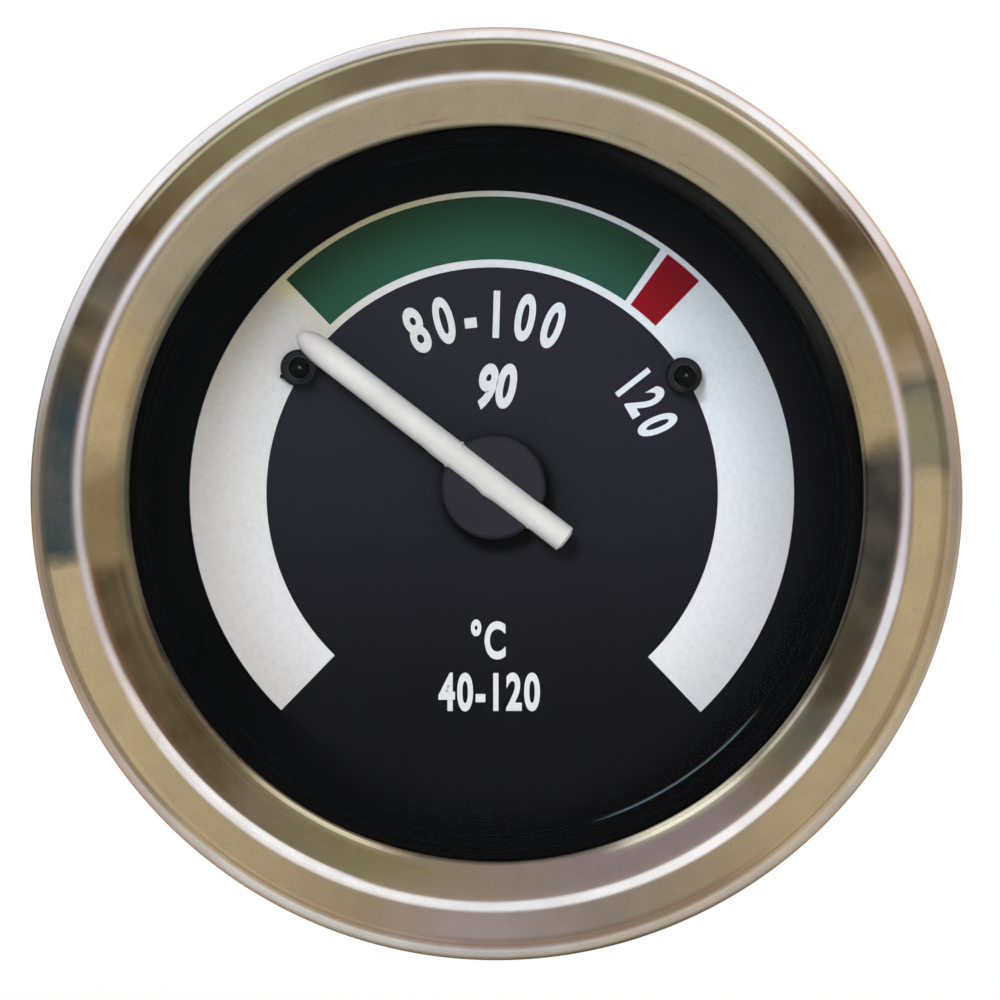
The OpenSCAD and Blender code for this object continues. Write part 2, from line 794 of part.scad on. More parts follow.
// U-shaped strip: a bar across the back and a leg along each side of the barrel
module clamp_bracket() {
    bend = 1.5;
    outer = bend + strip_t;
    corner = [leg_x - bend, bracket_front + bend];
    right_half = concat(
        arc(corner, bend, -90, 0, 6),
        [[leg_x, foot_z], [leg_x + strip_t, foot_z]],
        arc(corner, outer, 0, -90, 8)
    );
    left_half = [for (p = reversed(right_half)) [-p.x, p.y]];
    color([0.76, 0.74, 0.66]) difference() {
        rotate([90, 0, 0]) translate([0, 0, -strip_w / 2])
            linear_extrude(height = strip_w) polygon(concat(right_half, left_half));
        at_studs() rod(bracket_rear - 1, bracket_front + 1, stud_hole_r);
    }
}

module spring_washers() {
    split = 0.5;
    color([0.45, 0.45, 0.47]) at_studs() difference() {
        tube(spring_rear, bracket_rear, spring_r, stud_r + slip);
        rotate([0, 0, 70]) box([0, -split / 2, spring_rear - 1],
                               [spring_r + 1, split / 2, bracket_rear + 1]);
    }
}

module thumb_nut(side) {
    teeth = [for (i = [0:2 * knurl_teeth - 1])
        (knurl_d / 2 - (i % 2) * knurl_depth) * toward(180 * i / knurl_teeth)];
    color([0.78, 0.66, 0.38]) translate([side * stud_x, 0, 0]) difference() {
        union() {
            translate([0, 0, spring_rear - knurl_t]) linear_extrude(height = knurl_t) polygon(teeth);
            rod(thumb_rear, spring_rear - knurl_t, thumb_hub_r);
        }
        rod(thumb_rear - 1, spring_rear + 1, stud_r + slip);
    }
}

// Lamp, pushed into the case from behind

module lamp_socket() {
    flange_z = -case_depth;
    slit = 1;
    color([0.75, 0.74, 0.72]) at_lamp() difference() {
        union() {
            tube(socket_rear, case_inside + socket_in, socket_r, socket_r - socket_sheet);
            tube(flange_z - socket_flange_t, flange_z, socket_flange_r, socket_r - socket_sheet);
        }
        for (a = [30, 150, 270]) rotate([0, 0, a])
            box([0, -slit / 2, case_inside], [socket_r + 1, slit / 2, case_inside + socket_in + 1]);
    }
}

module lamp_insulator() {
    color([0.22, 0.12, 0.08]) at_lamp()
        tube(socket_rear, socket_rear + insulator_t, cap_r, contact_r + slip);
}

// Centre contact with its own small blade behind
module lamp_contact() {
    half_w = contact_blade_w / 2;
    color([0.80, 0.72, 0.48]) at_lamp() {
        rod(socket_rear, cap_rear, contact_r);
        box([-half_w, -blade_t / 2, socket_rear - contact_blade_l],
            [half_w, blade_t / 2, socket_rear]);
    }
}

module bulb_cap() {
    color([0.76, 0.68, 0.42]) at_lamp() rod(cap_rear, cap_front, cap_r);
}

module bulb_glass() {
    bulb_front = case_inside + bulb_in;
    color([0.92, 0.94, 0.94, 0.4]) at_lamp() {
        rod(cap_front, bulb_front - bulb_r, bulb_r);
        intersection() {
            translate([0, 0, bulb_front - bulb_r]) sphere(r = bulb_r);
            rod(bulb_front - bulb_r, bulb_front + 1, bulb_r + 1);
        }
    }
}

stand() bezel();
stand() lens_gasket();
stand() lens();
stand() inner_ring();
stand() case_can();  // case
stand() dial();
stand() scale_band();
stand() normal_zone();
stand() stop_zone();
stand() stop_pins();
stand() stop_buffers();
stand() pointer();
stand() pointer_hub();
stand() spindle();
stand() rotor_magnet();
stand() carrier_plate();
stand() bobbin_front();
stand() bobbin_rear();
stand() inner_coil();
stand() outer_coil();
stand() front_bearing();
stand() rear_bearing();
stand() return_magnet();
stand() shield_can();
stand() base_plate();
stand() series_resistor();
stand() resistor_leads();
stand() stud_sleeves();
stand() fixing_studs();
stand() plain_washers();
stand() hexagon_nuts();
stand() terminal_board();
stand() board_rivets();
stand() blade_at(0);  // supply_blade
stand() blade_at(1);  // sender_blade
stand() blade_at(2);  // earth_blade
stand() clamp_bracket();
stand() spring_washers();
stand() thumb_nut(-1);  // thumb_nut_left
stand() thumb_nut(1);  // thumb_nut_right
stand() lamp_socket();
stand() lamp_insulator();
stand() lamp_contact();
stand() bulb_cap();
stand() bulb_glass();
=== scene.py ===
# %% [markdown]
# # A round engine gauge
# The gauge is a small panel instrument. A plated bezel holds a flat glass over a printed dial, and a
# white pointer turns over the dial between two black pins. Behind the panel there is a steel case
# with two threaded studs, a clamp with thumb nuts, three blades and a lamp in its own socket.
#
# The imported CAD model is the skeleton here. It is loaded first and never moved. Each step then makes
# one piece or one finish, and puts it in the place that the CAD model gives.

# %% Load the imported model
import math

import bpy
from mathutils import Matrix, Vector


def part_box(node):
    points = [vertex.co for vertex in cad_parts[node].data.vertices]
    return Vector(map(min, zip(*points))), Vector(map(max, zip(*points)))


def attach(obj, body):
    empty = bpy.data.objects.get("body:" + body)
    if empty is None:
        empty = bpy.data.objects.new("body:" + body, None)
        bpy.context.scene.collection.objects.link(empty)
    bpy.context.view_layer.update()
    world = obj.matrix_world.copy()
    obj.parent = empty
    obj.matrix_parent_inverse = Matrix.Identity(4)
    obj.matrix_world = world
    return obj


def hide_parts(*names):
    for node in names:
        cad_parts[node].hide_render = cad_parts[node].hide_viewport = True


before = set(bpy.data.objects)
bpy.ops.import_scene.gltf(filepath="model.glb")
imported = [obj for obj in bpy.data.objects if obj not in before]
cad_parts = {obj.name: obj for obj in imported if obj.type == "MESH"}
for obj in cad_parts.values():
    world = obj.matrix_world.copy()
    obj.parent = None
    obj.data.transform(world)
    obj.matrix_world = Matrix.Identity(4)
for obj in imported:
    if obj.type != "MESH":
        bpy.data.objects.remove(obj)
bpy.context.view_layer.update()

# %% [markdown]
# ## Millimetres on the dial
# The gauge faces the viewer, so it is easiest to think of a piece as so far to the right, so far up
# and so far to the front, counted in millimetres from the middle of the panel's front. One small
# function turns such a place into Blender's metres. Negative values of front lie behind the panel.

# %% Places in millimetres
MM = 0.001
TURN = 2 * math.pi


def at(across, up, front):
    return Vector((across, -front, up)) * MM


def to_dial(place):
    """The other way round: a place in metres as (across, up, front) in millimetres."""
    return Vector((place.x, place.z, -place.y)) / MM


def middle(node, side=0):
    """Middle of a CAD node, or of its half left (-1) or right (1) of the axis."""
    spots = [to_dial(v.co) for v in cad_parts[node].data.vertices]
    spots = [s for s in spots if s.x * side >= 0]
    low = Vector(min(s[i] for s in spots) for i in range(3))
    high = Vector(max(s[i] for s in spots) for i in range(3))
    return (low + high) / 2


def depths(node):
    """How far to the front a CAD node starts and ends, the front end first."""
    return [to_dial(corner).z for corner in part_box(node)]


print("low pin at", middle("stop_pins", -1), "high pin at", middle("stop_pins", 1))

# %% [markdown]
# ## The camera
# The photograph was taken with a long lens from almost straight in front, a little to the left. The
# long lens keeps the rim nearly round. The camera's place was worked out from how far the scale's
# middle seems to shift against the rim's middle, because the dial lies deeper than the rim.

# %% Camera
EYE, TARGET = at(-18.7, 1.9, 404.36), at(0.12, -0.39, 4.36)
LENS = 224.2    # focal length in millimetres
bpy.ops.object.camera_add(location=EYE)
camera = bpy.context.object
camera.data.lens = LENS
aim = TARGET - EYE
camera.rotation_euler = aim.to_track_quat("-Z", "Y").to_euler()
bpy.context.scene.camera = camera
bpy.context.scene.view_settings.view_transform = "Standard"
print("camera looks", round(math.degrees(aim.angle(at(0, 0, -1))), 2), "degrees off the axis")

# %% [markdown]
# ## Colours and nodes
# A colour is written as it looks on a screen, as a hex value, but Blender mixes light in linear
# values. One function does that step. A material is a net of nodes, and one function adds a node
# with its settings and links, so that a finish reads as a list of what is laid over what.

# %% Colour and node helpers
def linear(tone):
    """A hex tone, as seen on a screen, in the linear values that Blender mixes."""
    parts = [int(tone[i:i + 2], 16) / 255 for i in (0, 2, 4)]
    return (*[p / 12.92 if p <= 0.04045 else ((p + 0.055) / 1.055) ** 2.4 for p in parts], 1)


def feed(node, inputs):
    """Gives each named input a value, or a link when the value is another node's output."""
    for name, value in inputs.items():
        socket = node.inputs[name]
        if isinstance(value, bpy.types.NodeSocket):
            node.id_data.links.new(value, socket)
        else:
            socket.default_value = value


def add(finish, kind, settings={}, inputs={}, out=0):
    """Adds one node to a finish and returns the output to use next."""
    node = finish.node_tree.nodes.new("ShaderNode" + kind)
    for name, value in settings.items():
        if name == "stops":
            elements = node.color_ramp.elements
            elements[0].position, elements[0].color = value[0]
            elements[1].position, elements[1].color = value[-1]
            for place, colour in value[1:-1]:
                elements.new(place).color = colour
        else:
            setattr(node, name, value)
    feed(node, inputs)
    return node.outputs[out]


def start_finish(name):
    """A new material and its shader."""
    finish = bpy.data.materials.new(name)
    finish.use_nodes = True
    return finish, finish.node_tree.nodes["Principled BSDF"]


def mixed(finish, share, under, over, blend="MIX"):
    """One colour over another, by a share from 0 to 1."""
    return add(finish, "Mix", {"data_type": "RGBA", "blend_type": blend}, {0: share, 6: under, 7: over}, 2)


def fade(finish, value, start, end, low=0.0, high=1.0):
    """Smooth step: low before start, high after end."""
    inputs = {"Value": value, "From Min": start, "From Max": end, "To Min": low, "To Max": high}
    return add(finish, "MapRange", {"interpolation_type": "SMOOTHSTEP"}, inputs)


def product(finish, share, *others):
    """All of them multiplied, which for shares means: where every one of them holds."""
    for other in others:
        share = add(finish, "Math", {"operation": "MULTIPLY"}, {0: share, 1: other})
    return share


def window(finish, value, rise, fall):
    """1 between two smooth steps, each given by its start and end."""
    return product(finish, fade(finish, value, *rise), fade(finish, value, *fall, 1.0, 0.0))


def place_on(finish):
    """The place on a piece in metres, and its three axes."""
    place = add(finish, "TexCoord", out=3)
    return place, add(finish, "SeparateXYZ", {}, {0: place}).node.outputs


def cloud(finish, place, size, detail=4.0):
    """Noise whose lumps are size millimetres across, when place is in metres."""
    return add(finish, "TexNoise", {}, {"Vector": place, "Scale": 1 / (size * MM), "Detail": detail})


# %% [markdown]
# ## Light and floor
# Outdoor shade gives soft light from all sides, and a little more from the upper left. So the world
# is white, with a large soft lamp at the upper left and a weaker one behind for the back. Together
# they light the dial at a level at which a colour renders about as it is written. Metal shows little
# but its surroundings, so behind the gauge its mirror image of the room gets darker downwards, which
# gives the parts at the back their form. The floor is pale and fades to white with distance, and it
# still takes the object's shadow.

# %% World, lamps and floor
SKY_LIGHT = 0.53    # how much light the white world throws, against 1 where it is seen


def seen_directly(owner):
    """1 for camera, glossy and transmission rays, 0 for the rays that carry light."""
    ray = add(owner, "LightPath").node.outputs
    seen = ray["Is Camera Ray"]
    for kind in ("Is Glossy Ray", "Is Transmission Ray"):
        seen = add(owner, "Math", {"operation": "MAXIMUM"}, {0: seen, 1: ray[kind]})
    return seen


world = bpy.data.worlds.new("studio_white")
bpy.context.scene.world = world
world.use_nodes = True
sky = world.node_tree.nodes["Background"]
facing = add(world, "SeparateXYZ", {}, {0: add(world, "TexCoord")}).node.outputs
in_mirror = add(world, "LightPath").node.outputs["Is Glossy Ray"]
dimmed = product(world, fade(world, facing["Y"], -0.1, 0.5),
                 fade(world, facing["Z"], -0.6, 0.8, 0.6, 0.0), in_mirror)
level = fade(world, seen_directly(world), 0, 1, SKY_LIGHT, 1.0)
strength = add(world, "Math", {"operation": "SUBTRACT"}, {0: level, 1: dimmed})
feed(sky, {"Color": (1, 1, 1, 1), "Strength": strength})

# Each soft light's place, watts, width in metres, and whether metal mirrors it
LIGHTS = ((at(-250, 380, 820), 6.0, 0.2, False), (at(420, 240, -700), 3.2, 0.5, True))
for spot, power, size, mirrored in LIGHTS:
    bpy.ops.object.light_add(type="AREA", location=spot)
    lamp = bpy.context.object
    lamp.data.energy, lamp.data.size = power, size
    lamp.visible_glossy = mirrored
    lamp.rotation_euler = (-spot).to_track_quat("-Z", "Y").to_euler()

bpy.ops.mesh.primitive_circle_add(vertices=96, radius=3, fill_type="NGON", location=at(0, -75, 0))
floor = bpy.context.object
floor.name = "floor"
paper, paper_shader = start_finish("pale_paper")
feed(paper_shader, {"Base Color": linear("f2f2f0"), "Roughness": 0.9, "Specular IOR Level": 0.1})
away = add(paper, "VectorMath", {"operation": "LENGTH"}, {0: add(paper, "TexCoord", out=3)}, 1)
white = add(paper, "Emission", {}, {"Color": (1, 1, 1, 1), "Strength": 1.0})
share = product(paper, fade(paper, away, 0.2, 0.55), seen_directly(paper))
blend = add(paper, "MixShader", {}, {0: share, 1: paper_shader.outputs[0], 2: white})
feed(paper.node_tree.nodes["Material Output"], {"Surface": blend})
floor.data.materials.append(paper)
print("floor", floor.dimensions.x, "m across")

# %% [markdown]
# ## How the pieces are shaped
# Most pieces of a gauge are turned or spun, so most are made here as a wood turner would: a line is
# drawn point by point, by extruding a single vertex, and spun once round an axis that faces the
# viewer. Faces, edges and points are then picked by their place, as one would by hand.

# %% Turning, picking and boolean helpers
def deselect():
    if bpy.context.mode != "OBJECT":
        bpy.ops.object.mode_set(mode="OBJECT")
    bpy.ops.object.select_all(action="DESELECT")


def activate(piece):
    """Selects this piece alone, because an operator acts on all that is selected."""
    deselect()
    piece.select_set(True)
    bpy.context.view_layer.objects.active = piece


def settle(piece):
    """Puts the object's place, turn and scale into its mesh."""
    activate(piece)
    bpy.ops.object.transform_apply(location=True, rotation=True, scale=True)
    return piece


def edit(piece):
    """Opens a piece in edit mode, with all of it selected."""
    activate(piece)
    bpy.ops.object.mode_set(mode="EDIT")
    bpy.ops.mesh.select_all(action="SELECT")


def draw_line(name, line, centre):
    """A chain of edges through (radius, front) points, drawn from one vertex, left selected."""
    deselect()
    across, up = centre
    bpy.ops.mesh.primitive_plane_add(size=MM, location=at(across + line[0][0], up, line[0][1]))
    piece = bpy.context.object
    piece.name = name
    edit(settle(piece))
    bpy.ops.mesh.merge(type="CENTER")
    for (r0, f0), (r1, f1) in zip(line, line[1:]):
        bpy.ops.mesh.extrude_vertices_move(TRANSFORM_OT_translate={"value": at(r1 - r0, 0, f1 - f0)})
    bpy.ops.mesh.select_all(action="SELECT")
    return piece


def turn(name, line, centre=(0, 0), steps=96):
    """Spins a line of (radius, front) points round an axis that faces the viewer."""
    piece = draw_line(name, line, centre)
    bpy.ops.mesh.spin(steps=steps, angle=TURN, center=at(*centre, 0), axis=(0, 1, 0))
    bpy.ops.mesh.select_all(action="SELECT")
    bpy.ops.mesh.remove_doubles(threshold=1e-6)
    bpy.ops.mesh.normals_make_consistent(inside=False)
    bpy.ops.object.mode_set(mode="OBJECT")
    return piece


def closed(line):
    """The outline of a ring, which ends where it starts."""
    return line + line[:1]


def arc(centre, radius, start, end, steps):
    """Points of an arc, in degrees, as a line for turn()."""
    angles = [math.radians(start + (end - start) * i / steps) for i in range(steps + 1)]
    return [(centre[0] + radius * math.cos(a), centre[1] + radius * math.sin(a)) for a in angles]


def pick(piece, kind, where):
    """Selects what passes where(place), in (across, up, front), and stays in edit mode."""
    activate(piece)
    mesh = piece.data
    for group in (mesh.vertices, mesh.edges, mesh.polygons):
        group.foreach_set("select", [False] * len(group))
    spots = [to_dial(v.co) for v in mesh.vertices]
    chosen = {"VERT": mesh.vertices, "EDGE": mesh.edges, "FACE": mesh.polygons}[kind]
    for element in chosen:
        corners = [element.index] if kind == "VERT" else list(element.vertices)
        element.select = where(sum((spots[i] for i in corners), Vector()) / len(corners))
    bpy.context.tool_settings.mesh_select_mode = [kind == k for k in ("VERT", "EDGE", "FACE")]
    bpy.ops.object.mode_set(mode="EDIT")


def modify(piece, kind, **settings):
    """Adds a modifier and applies it at once."""
    activate(piece)
    modifier = piece.modifiers.new(kind, kind)
    for name, value in settings.items():
        setattr(modifier, name, value)
    bpy.ops.object.modifier_apply(modifier=modifier.name)
    return piece


def combine(piece, tool, operation):
    """Cuts or trims a piece by a second one, which is used up."""
    modify(piece, "BOOLEAN", operation=operation, object=tool, solver="EXACT")
    bpy.data.objects.remove(tool)
    return piece


def joined(name, *pieces):
    """One piece made of several."""
    activate(pieces[0])
    for piece in pieces:
        piece.select_set(True)
    if len(pieces) > 1:
        bpy.ops.object.join()
    pieces[0].name = name
    return pieces[0]


def face_front(piece):
    """Turns an open sheet round where its foremost face looks backwards."""
    foremost = max(piece.data.polygons, key=lambda face: -face.center.y)
    if foremost.normal.y > 0:
        piece.data.flip_normals()


def copy_of(piece, name, shift):
    """A copy with its own mesh, moved by shift."""
    activate(piece)
    bpy.ops.object.duplicate(linked=False)
    twin = bpy.context.object
    twin.name = name
    twin.location = shift
    return settle(twin)


def fit(piece, body, slot, finish, *nodes, sharp=30):
    """Gives a piece its finish, smooth shading and body, and hides the CAD nodes it stands for; slot is not
    used.
    """
    activate(piece)
    piece.data.materials.clear()
    piece.data.materials.append(finish)
    bpy.ops.object.shade_smooth_by_angle(angle=math.radians(sharp))
    if piece.name.endswith("_finished"):    # long thin faces would shade in scallops
        modify(piece, "WEIGHTED_NORMAL", keep_sharp=True)
    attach(piece, body)
    if nodes:
        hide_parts(*nodes)
    size = [round(d / MM, 1) for d in piece.dimensions]
    print(piece.name, "faces", len(piece.data.polygons), "size", size)
    return piece


def soften(node, width, body, slot, finish):
    """A CAD node in its finish, with the small round on its hard edges that a real tool leaves."""
    activate(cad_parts[node])
    bpy.ops.object.duplicate(linked=False)
    piece = bpy.context.object
    piece.parent = None
    for key in list(piece.keys()):
        del piece[key]
    piece.name = node + "_finished"
    edit(piece)
    bpy.ops.mesh.remove_doubles(threshold=1e-6)
    bpy.ops.mesh.dissolve_limited(angle_limit=math.radians(1))
    bpy.ops.object.mode_set(mode="OBJECT")
    modify(piece, "BEVEL", width=width * MM, segments=2, limit_method="ANGLE",
           angle_limit=math.radians(30), harden_normals=False)
    return fit(piece, body, slot, finish, node)


def coat_node(finish, *names):
    """A CAD node whose shape is right stays, with a better finish."""
    for name in names:
        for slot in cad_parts[name].material_slots:
            slot.link = "OBJECT"
            slot.material = finish


# %% [markdown]
# ## Bezel
# The bezel is pressed from thin sheet steel. It has a dished inner band, a rounded crest, an outer
# band that falls to a narrow groove, and a round bead at the rim, and its edge is rolled over behind
# the case. Its front line is drawn as one chain of arcs, spun round, and then thickened inwards,
# which is how a pressed sheet gets its wall.

# %% Bezel shape
SHEET = 0.5     # thickness of the sheet in millimetres
bezel_line = (
    [(23.7, 3.45)]
    + arc((24.4, 3.7), 0.7, 180, 120, 6)
    + arc((26.55, 4.5949), 1.0, 120, 70, 8)
    + arc((28.8338, 5.0939), 0.25, 250, 305, 4)
    + arc((29.35, 4.3566), 0.65, 125, 0, 10)
    + arc((29.3, 0.7), 0.7, 0, -90, 6)
    + [(27.6, 0)]
)
bezel = turn("bezel_pressed", bezel_line, steps=288)
face_front(bezel)
modify(bezel, "SOLIDIFY", thickness=SHEET * MM, offset=-1)
print("bezel stands", round(-min(v.co.y for v in bezel.data.vertices) / MM, 2), "mm proud")

# %% [markdown]
# ## Bezel finish: nickel plate with painted reflections
# Nickel plate over steel is smooth, and it shows little but the room that it mirrors. Here that mirror
# image is painted into its colour all the way round: straw and olive on the inner band, brown and slate
# on the outer one, and a nearly white painted highlight on the crest and the rim's bead. So the finish
# reads two things from the place on the piece, its angle round the dial and its radius. Each part of the
# section gets its own ramp of tones round the dial, and the radius decides which ramp shows.

# %% Painted reflection tones round the bezel
TONES = {
    "jet": "151413", "soot": "3a3835", "pitch": "4a4234", "slate": "38444a", "shale": "625f54",
    "bark": "4f412c", "umber": "604c37", "peat": "6f6450", "olive": "7e7657", "moss": "858068",
    "straw": "857350", "plum": "87797a", "dun": "8b7d6d", "stone": "92867d", "lichen": "99927c",
    "flax": "a69672", "taupe": "a79a83", "clay": "a08e76", "mauve": "a39596", "gold": "b8a37a",
    "sand": "b6a37f", "fawn": "b8a08e", "silver": "bdbaba", "dove": "c2b5a8", "rose": "cbafa1",
    "lilac": "cdc4ca", "linen": "d4d2ce", "shell": "d6c0ba", "pearl": "dfdbe2", "petal": "e3d2d2",
    "cream": "ebe3dd", "frost": "ebedf0", "bright": "f9f6f6",
}


def round_dial(finish, share, tones):
    """A ramp of named tones by degrees, counted from the right, against the clock."""
    stops = [(degrees / 360, linear(TONES[name])) for degrees, name in tones]
    return add(finish, "ValToRGB", {"stops": stops}, {0: share})


# Each ramp holds painted reflection tones by angle; those of the crest and the bead are mostly painted
# highlights
LIP = [
    (0, "pitch"), (20, "pitch"), (40, "moss"), (60, "lichen"), (80, "lichen"), (100, "moss"),
    (120, "shale"), (140, "soot"), (155, "jet"), (205, "jet"), (216, "peat"), (228, "peat"),
    (242, "soot"), (282, "soot"), (296, "moss"), (310, "lichen"), (322, "lichen"), (338, "pitch"),
    (360, "pitch"),
]
INNER_BAND = [
    (0, "soot"), (5, "soot"), (9, "flax"), (18, "flax"), (28, "taupe"), (60, "taupe"), (150, "taupe"),
    (158, "gold"), (172, "gold"), (179, "straw"), (189, "straw"), (192, "bark"), (222, "bark"),
    (232, "peat"), (250, "olive"), (264, "dun"), (285, "plum"), (304, "plum"), (314, "peat"),
    (322, "shale"), (329, "pitch"), (335, "pitch"), (350, "soot"), (360, "soot"),
]
OUTER_BAND = [
    (0, "sand"), (2, "sand"), (4, "moss"), (12, "moss"), (14, "shale"), (17, "clay"), (22, "straw"),
    (29, "straw"), (34, "bark"), (44, "bark"), (50, "olive"), (72, "olive"), (83, "peat"),
    (108, "peat"), (116, "olive"), (124, "olive"), (145, "umber"), (153, "shale"), (155, "peat"),
    (157, "pitch"), (160, "peat"), (163, "pitch"), (169, "slate"), (188, "slate"), (189.5, "sand"),
    (232, "sand"), (252, "clay"), (268, "mauve"), (284, "stone"), (300, "clay"), (316, "sand"),
    (345, "sand"),
]
CREST = [
    (0, "lilac"), (16, "lilac"), (30, "linen"), (45, "pearl"), (60, "cream"), (78, "frost"),
    (138, "frost"), (152, "pearl"), (166, "lilac"), (182, "silver"), (198, "lilac"), (211, "cream"),
    (225, "bright"), (255, "bright"), (270, "frost"), (290, "bright"), (318, "bright"), (331, "frost"),
    (346, "pearl"), (360, "lilac"),
]
BEAD = [
    (0, "stone"), (17, "fawn"), (28, "petal"), (48, "bright"), (94, "bright"), (104, "pearl"),
    (122, "frost"), (140, "bright"), (152, "pearl"), (163, "silver"), (172, "stone"), (182, "dun"),
    (196, "dun"), (203, "clay"), (216, "dove"), (235, "linen"), (256, "linen"), (268, "silver"),
    (285, "dove"), (322, "dove"), (336, "sand"), (350, "clay"), (360, "stone"),
]
EDGE = [
    (0, "fawn"), (18, "fawn"), (36, "rose"), (56, "shell"), (80, "shell"), (94, "petal"),
    (103, "bright"), (146, "bright"), (157, "pearl"), (166, "silver"), (180, "clay"), (195, "fawn"),
    (208, "rose"), (228, "rose"), (242, "fawn"), (256, "clay"), (270, "dun"), (286, "peat"),
    (298, "dun"), (312, "fawn"), (330, "dove"), (348, "dove"), (360, "fawn"),
]

# %% Angle and radius of a point on the bezel
def dial_radius(finish, place, shift=(0, 0, 0)):
    """Distance from the dial's middle in millimetres, or from a middle that is shifted by metres."""
    moved = add(finish, "VectorMath", {"operation": "SUBTRACT"}, {0: place, 1: shift})
    flat = add(finish, "VectorMath", {"operation": "MULTIPLY"}, {0: moved, 1: (1 / MM, 0, 1 / MM)})
    return add(finish, "VectorMath", {"operation": "LENGTH"}, {0: flat}, 1)


def ridge(finish, radius, centre, width, soft):
    """1 within width millimetres of a circle, fading to 0 over soft millimetres more."""
    off = add(finish, "Math", {"operation": "SUBTRACT"}, {0: radius, 1: centre})
    off = add(finish, "Math", {"operation": "ABSOLUTE"}, {0: off})
    return fade(finish, off, width, width + soft, 1.0, 0.0)


SOFT = 6    # degrees to both sides of an angle over which a tone fades


def between(start, end):
    """1 on the bezel between two angles in degrees, with soft ends."""
    rise, fall = (((angle - SOFT) / 360, (angle + SOFT) / 360) for angle in (start, end))
    return window(nickel, around, rise, fall)


nickel, nickel_shader = start_finish("nickel_plate_painted_reflections")
spot, axes = place_on(nickel)
wobble = add(nickel, "Math", {"operation": "MULTIPLY_ADD"},
             {0: cloud(nickel, spot, 2.5), 1: 0.012, 2: -0.006})
angle = add(nickel, "Math", {"operation": "ARCTAN2"}, {0: axes["Z"], 1: axes["X"]})
turns = add(nickel, "Math", {"operation": "MULTIPLY_ADD"}, {0: angle, 1: 1 / TURN, 2: wobble})
around = add(nickel, "Math", {"operation": "FRACT"}, {0: turns})
radius = dial_radius(nickel, spot)
# The painted highlight on the crest, the bead's edge and the painted shade at the lip are laid on circles not
# quite concentric with the rim
crest_radius = dial_radius(nickel, spot, at(-0.36, 0.18, 0))
bead_radius = dial_radius(nickel, spot, at(-0.085, 0, 0))
lip_radius = dial_radius(nickel, spot, at(-0.17, 0.05, 0))

# %% Lay the zones of tarnish over each other
def lay(share, over, strength=1.0):
    """Puts a tone over what has been laid so far."""
    if isinstance(over, str):
        over = linear(over)
    if strength < 1:
        share = product(nickel, share, strength)
    return mixed(nickel, share, colour, over)


def lay_line(circle, at_radius, width, soft, start, end, over, strength=1.0):
    """Puts a thin line of tone over it, along a circle and between two angles."""
    share = product(nickel, ridge(nickel, circle, at_radius, width, soft), between(start, end))
    return lay(share, over, strength)


# Painted shade darkens the lip's edge beside the glass, most at the left, over the lip's painted reflection
# tones
colour = mixed(nickel, fade(nickel, lip_radius, 23.6, 23.85, 0.85, 0.0),
               round_dial(nickel, around, LIP), linear("121212"))
colour = lay(fade(nickel, lip_radius, 23.74, 24.04), round_dial(nickel, around, INNER_BAND))
# Painted glints where the lip catches light: its angles, tone, half width and the strength of the glow beside
# it
for start, end, tone, reach, glow in (
    (231, 253, "d9cfb6", 0.1, 0.15), (291, 311, "f6f2de", 0.14, 0.4), (313, 329, "bdb5a4", 0.1, 0.1),
):
    colour = lay_line(radius, 23.96, 0.25, 2.5 * reach, start, end, "c9bfa2", glow)
    colour = lay_line(radius, 23.96, reach, reach, start, end, tone)
# Painted reflection and shade: the inner band is warmer at the lower right near the crest, and darker at the
# left near the lip
for start, end, tone, strength, ends in (
    (250, 350, "c2a793", 0.12, (25.2, 26.4)), (142, 196, "5e5f50", 0.55, (24.2, 24.8, 1.0, 0.0)),
):
    colour = lay(product(nickel, fade(nickel, radius, *ends), between(start, end)), tone, strength)
colour = lay(fade(nickel, radius, 26.4, 26.9), round_dial(nickel, around, OUTER_BAND))
# Painted reflections: pale lines beyond the crest at the upper right and upper left
for start, end in ((44, 70), (113, 142)):
    colour = lay_line(crest_radius, 26.93, 0.05, 0.2, start, end, "cfcab2", 0.8)
# The painted highlight along the crest, with a pinkish glow beside it
colour = lay(ridge(nickel, crest_radius, 26.64, 0.12, 0.5), "b99f96", 0.5)
crest_tones = round_dial(nickel, around, CREST)
colour = lay_line(crest_radius, 26.68, 0.15, 0.28, 212, 350, crest_tones)
colour = lay(ridge(nickel, crest_radius, 26.63, 0.0, 0.4), crest_tones)
colour = lay_line(crest_radius, 26.38, 0.06, 0.16, 210, 248, crest_tones, 0.9)
# A painted highlight in the groove at the upper right
colour = lay_line(radius, 28.78, 0.0, 0.16, 50, 68, "dcd6b4", 0.85)
# Light and shade in the groove beside the bead
for start, end, tone in (
    (-20, 22, "43382a"), (322, 380, "6f5a3c"), (162, 186, "4a4a44"), (262, 304, "76604f"),
    (42, 78, "efe0cc"),
):
    colour = lay_line(radius, 28.85, 0.1, 0.35, start, end, tone, 0.45)
# The bead and the rim's edge carry painted highlights and reflections, and darker painted lines along the
# bead's inner edge
colour = lay(fade(nickel, bead_radius, 29.14, 29.4), round_dial(nickel, around, BEAD))
for start, end, tone in ((24, 72, "9a7868"), (228, 376, "8f735f")):
    colour = lay_line(bead_radius, 29.0, 0.0, 0.12, start, end, tone, 0.7)
colour = lay_line(bead_radius, 29.2, 0.1, 0.15, 160, 226, "5f5344", 0.6)
colour = lay_line(radius, 29.03, 0.02, 0.16, 76, 140, "cfc9ac", 0.8)
colour = lay(fade(nickel, radius, 29.62, 29.9), round_dial(nickel, around, EDGE))
# The rim's side and the roll behind it get one tone each, by how far to the back they lie
side = product(nickel, fade(nickel, axes["Y"], -4.0 * MM, -3.0 * MM), fade(nickel, radius, 29.2, 29.6))
colour = lay(side, "a3927a")
colour = lay(fade(nickel, axes["Y"], -1.4 * MM, -0.6 * MM), "a59783")

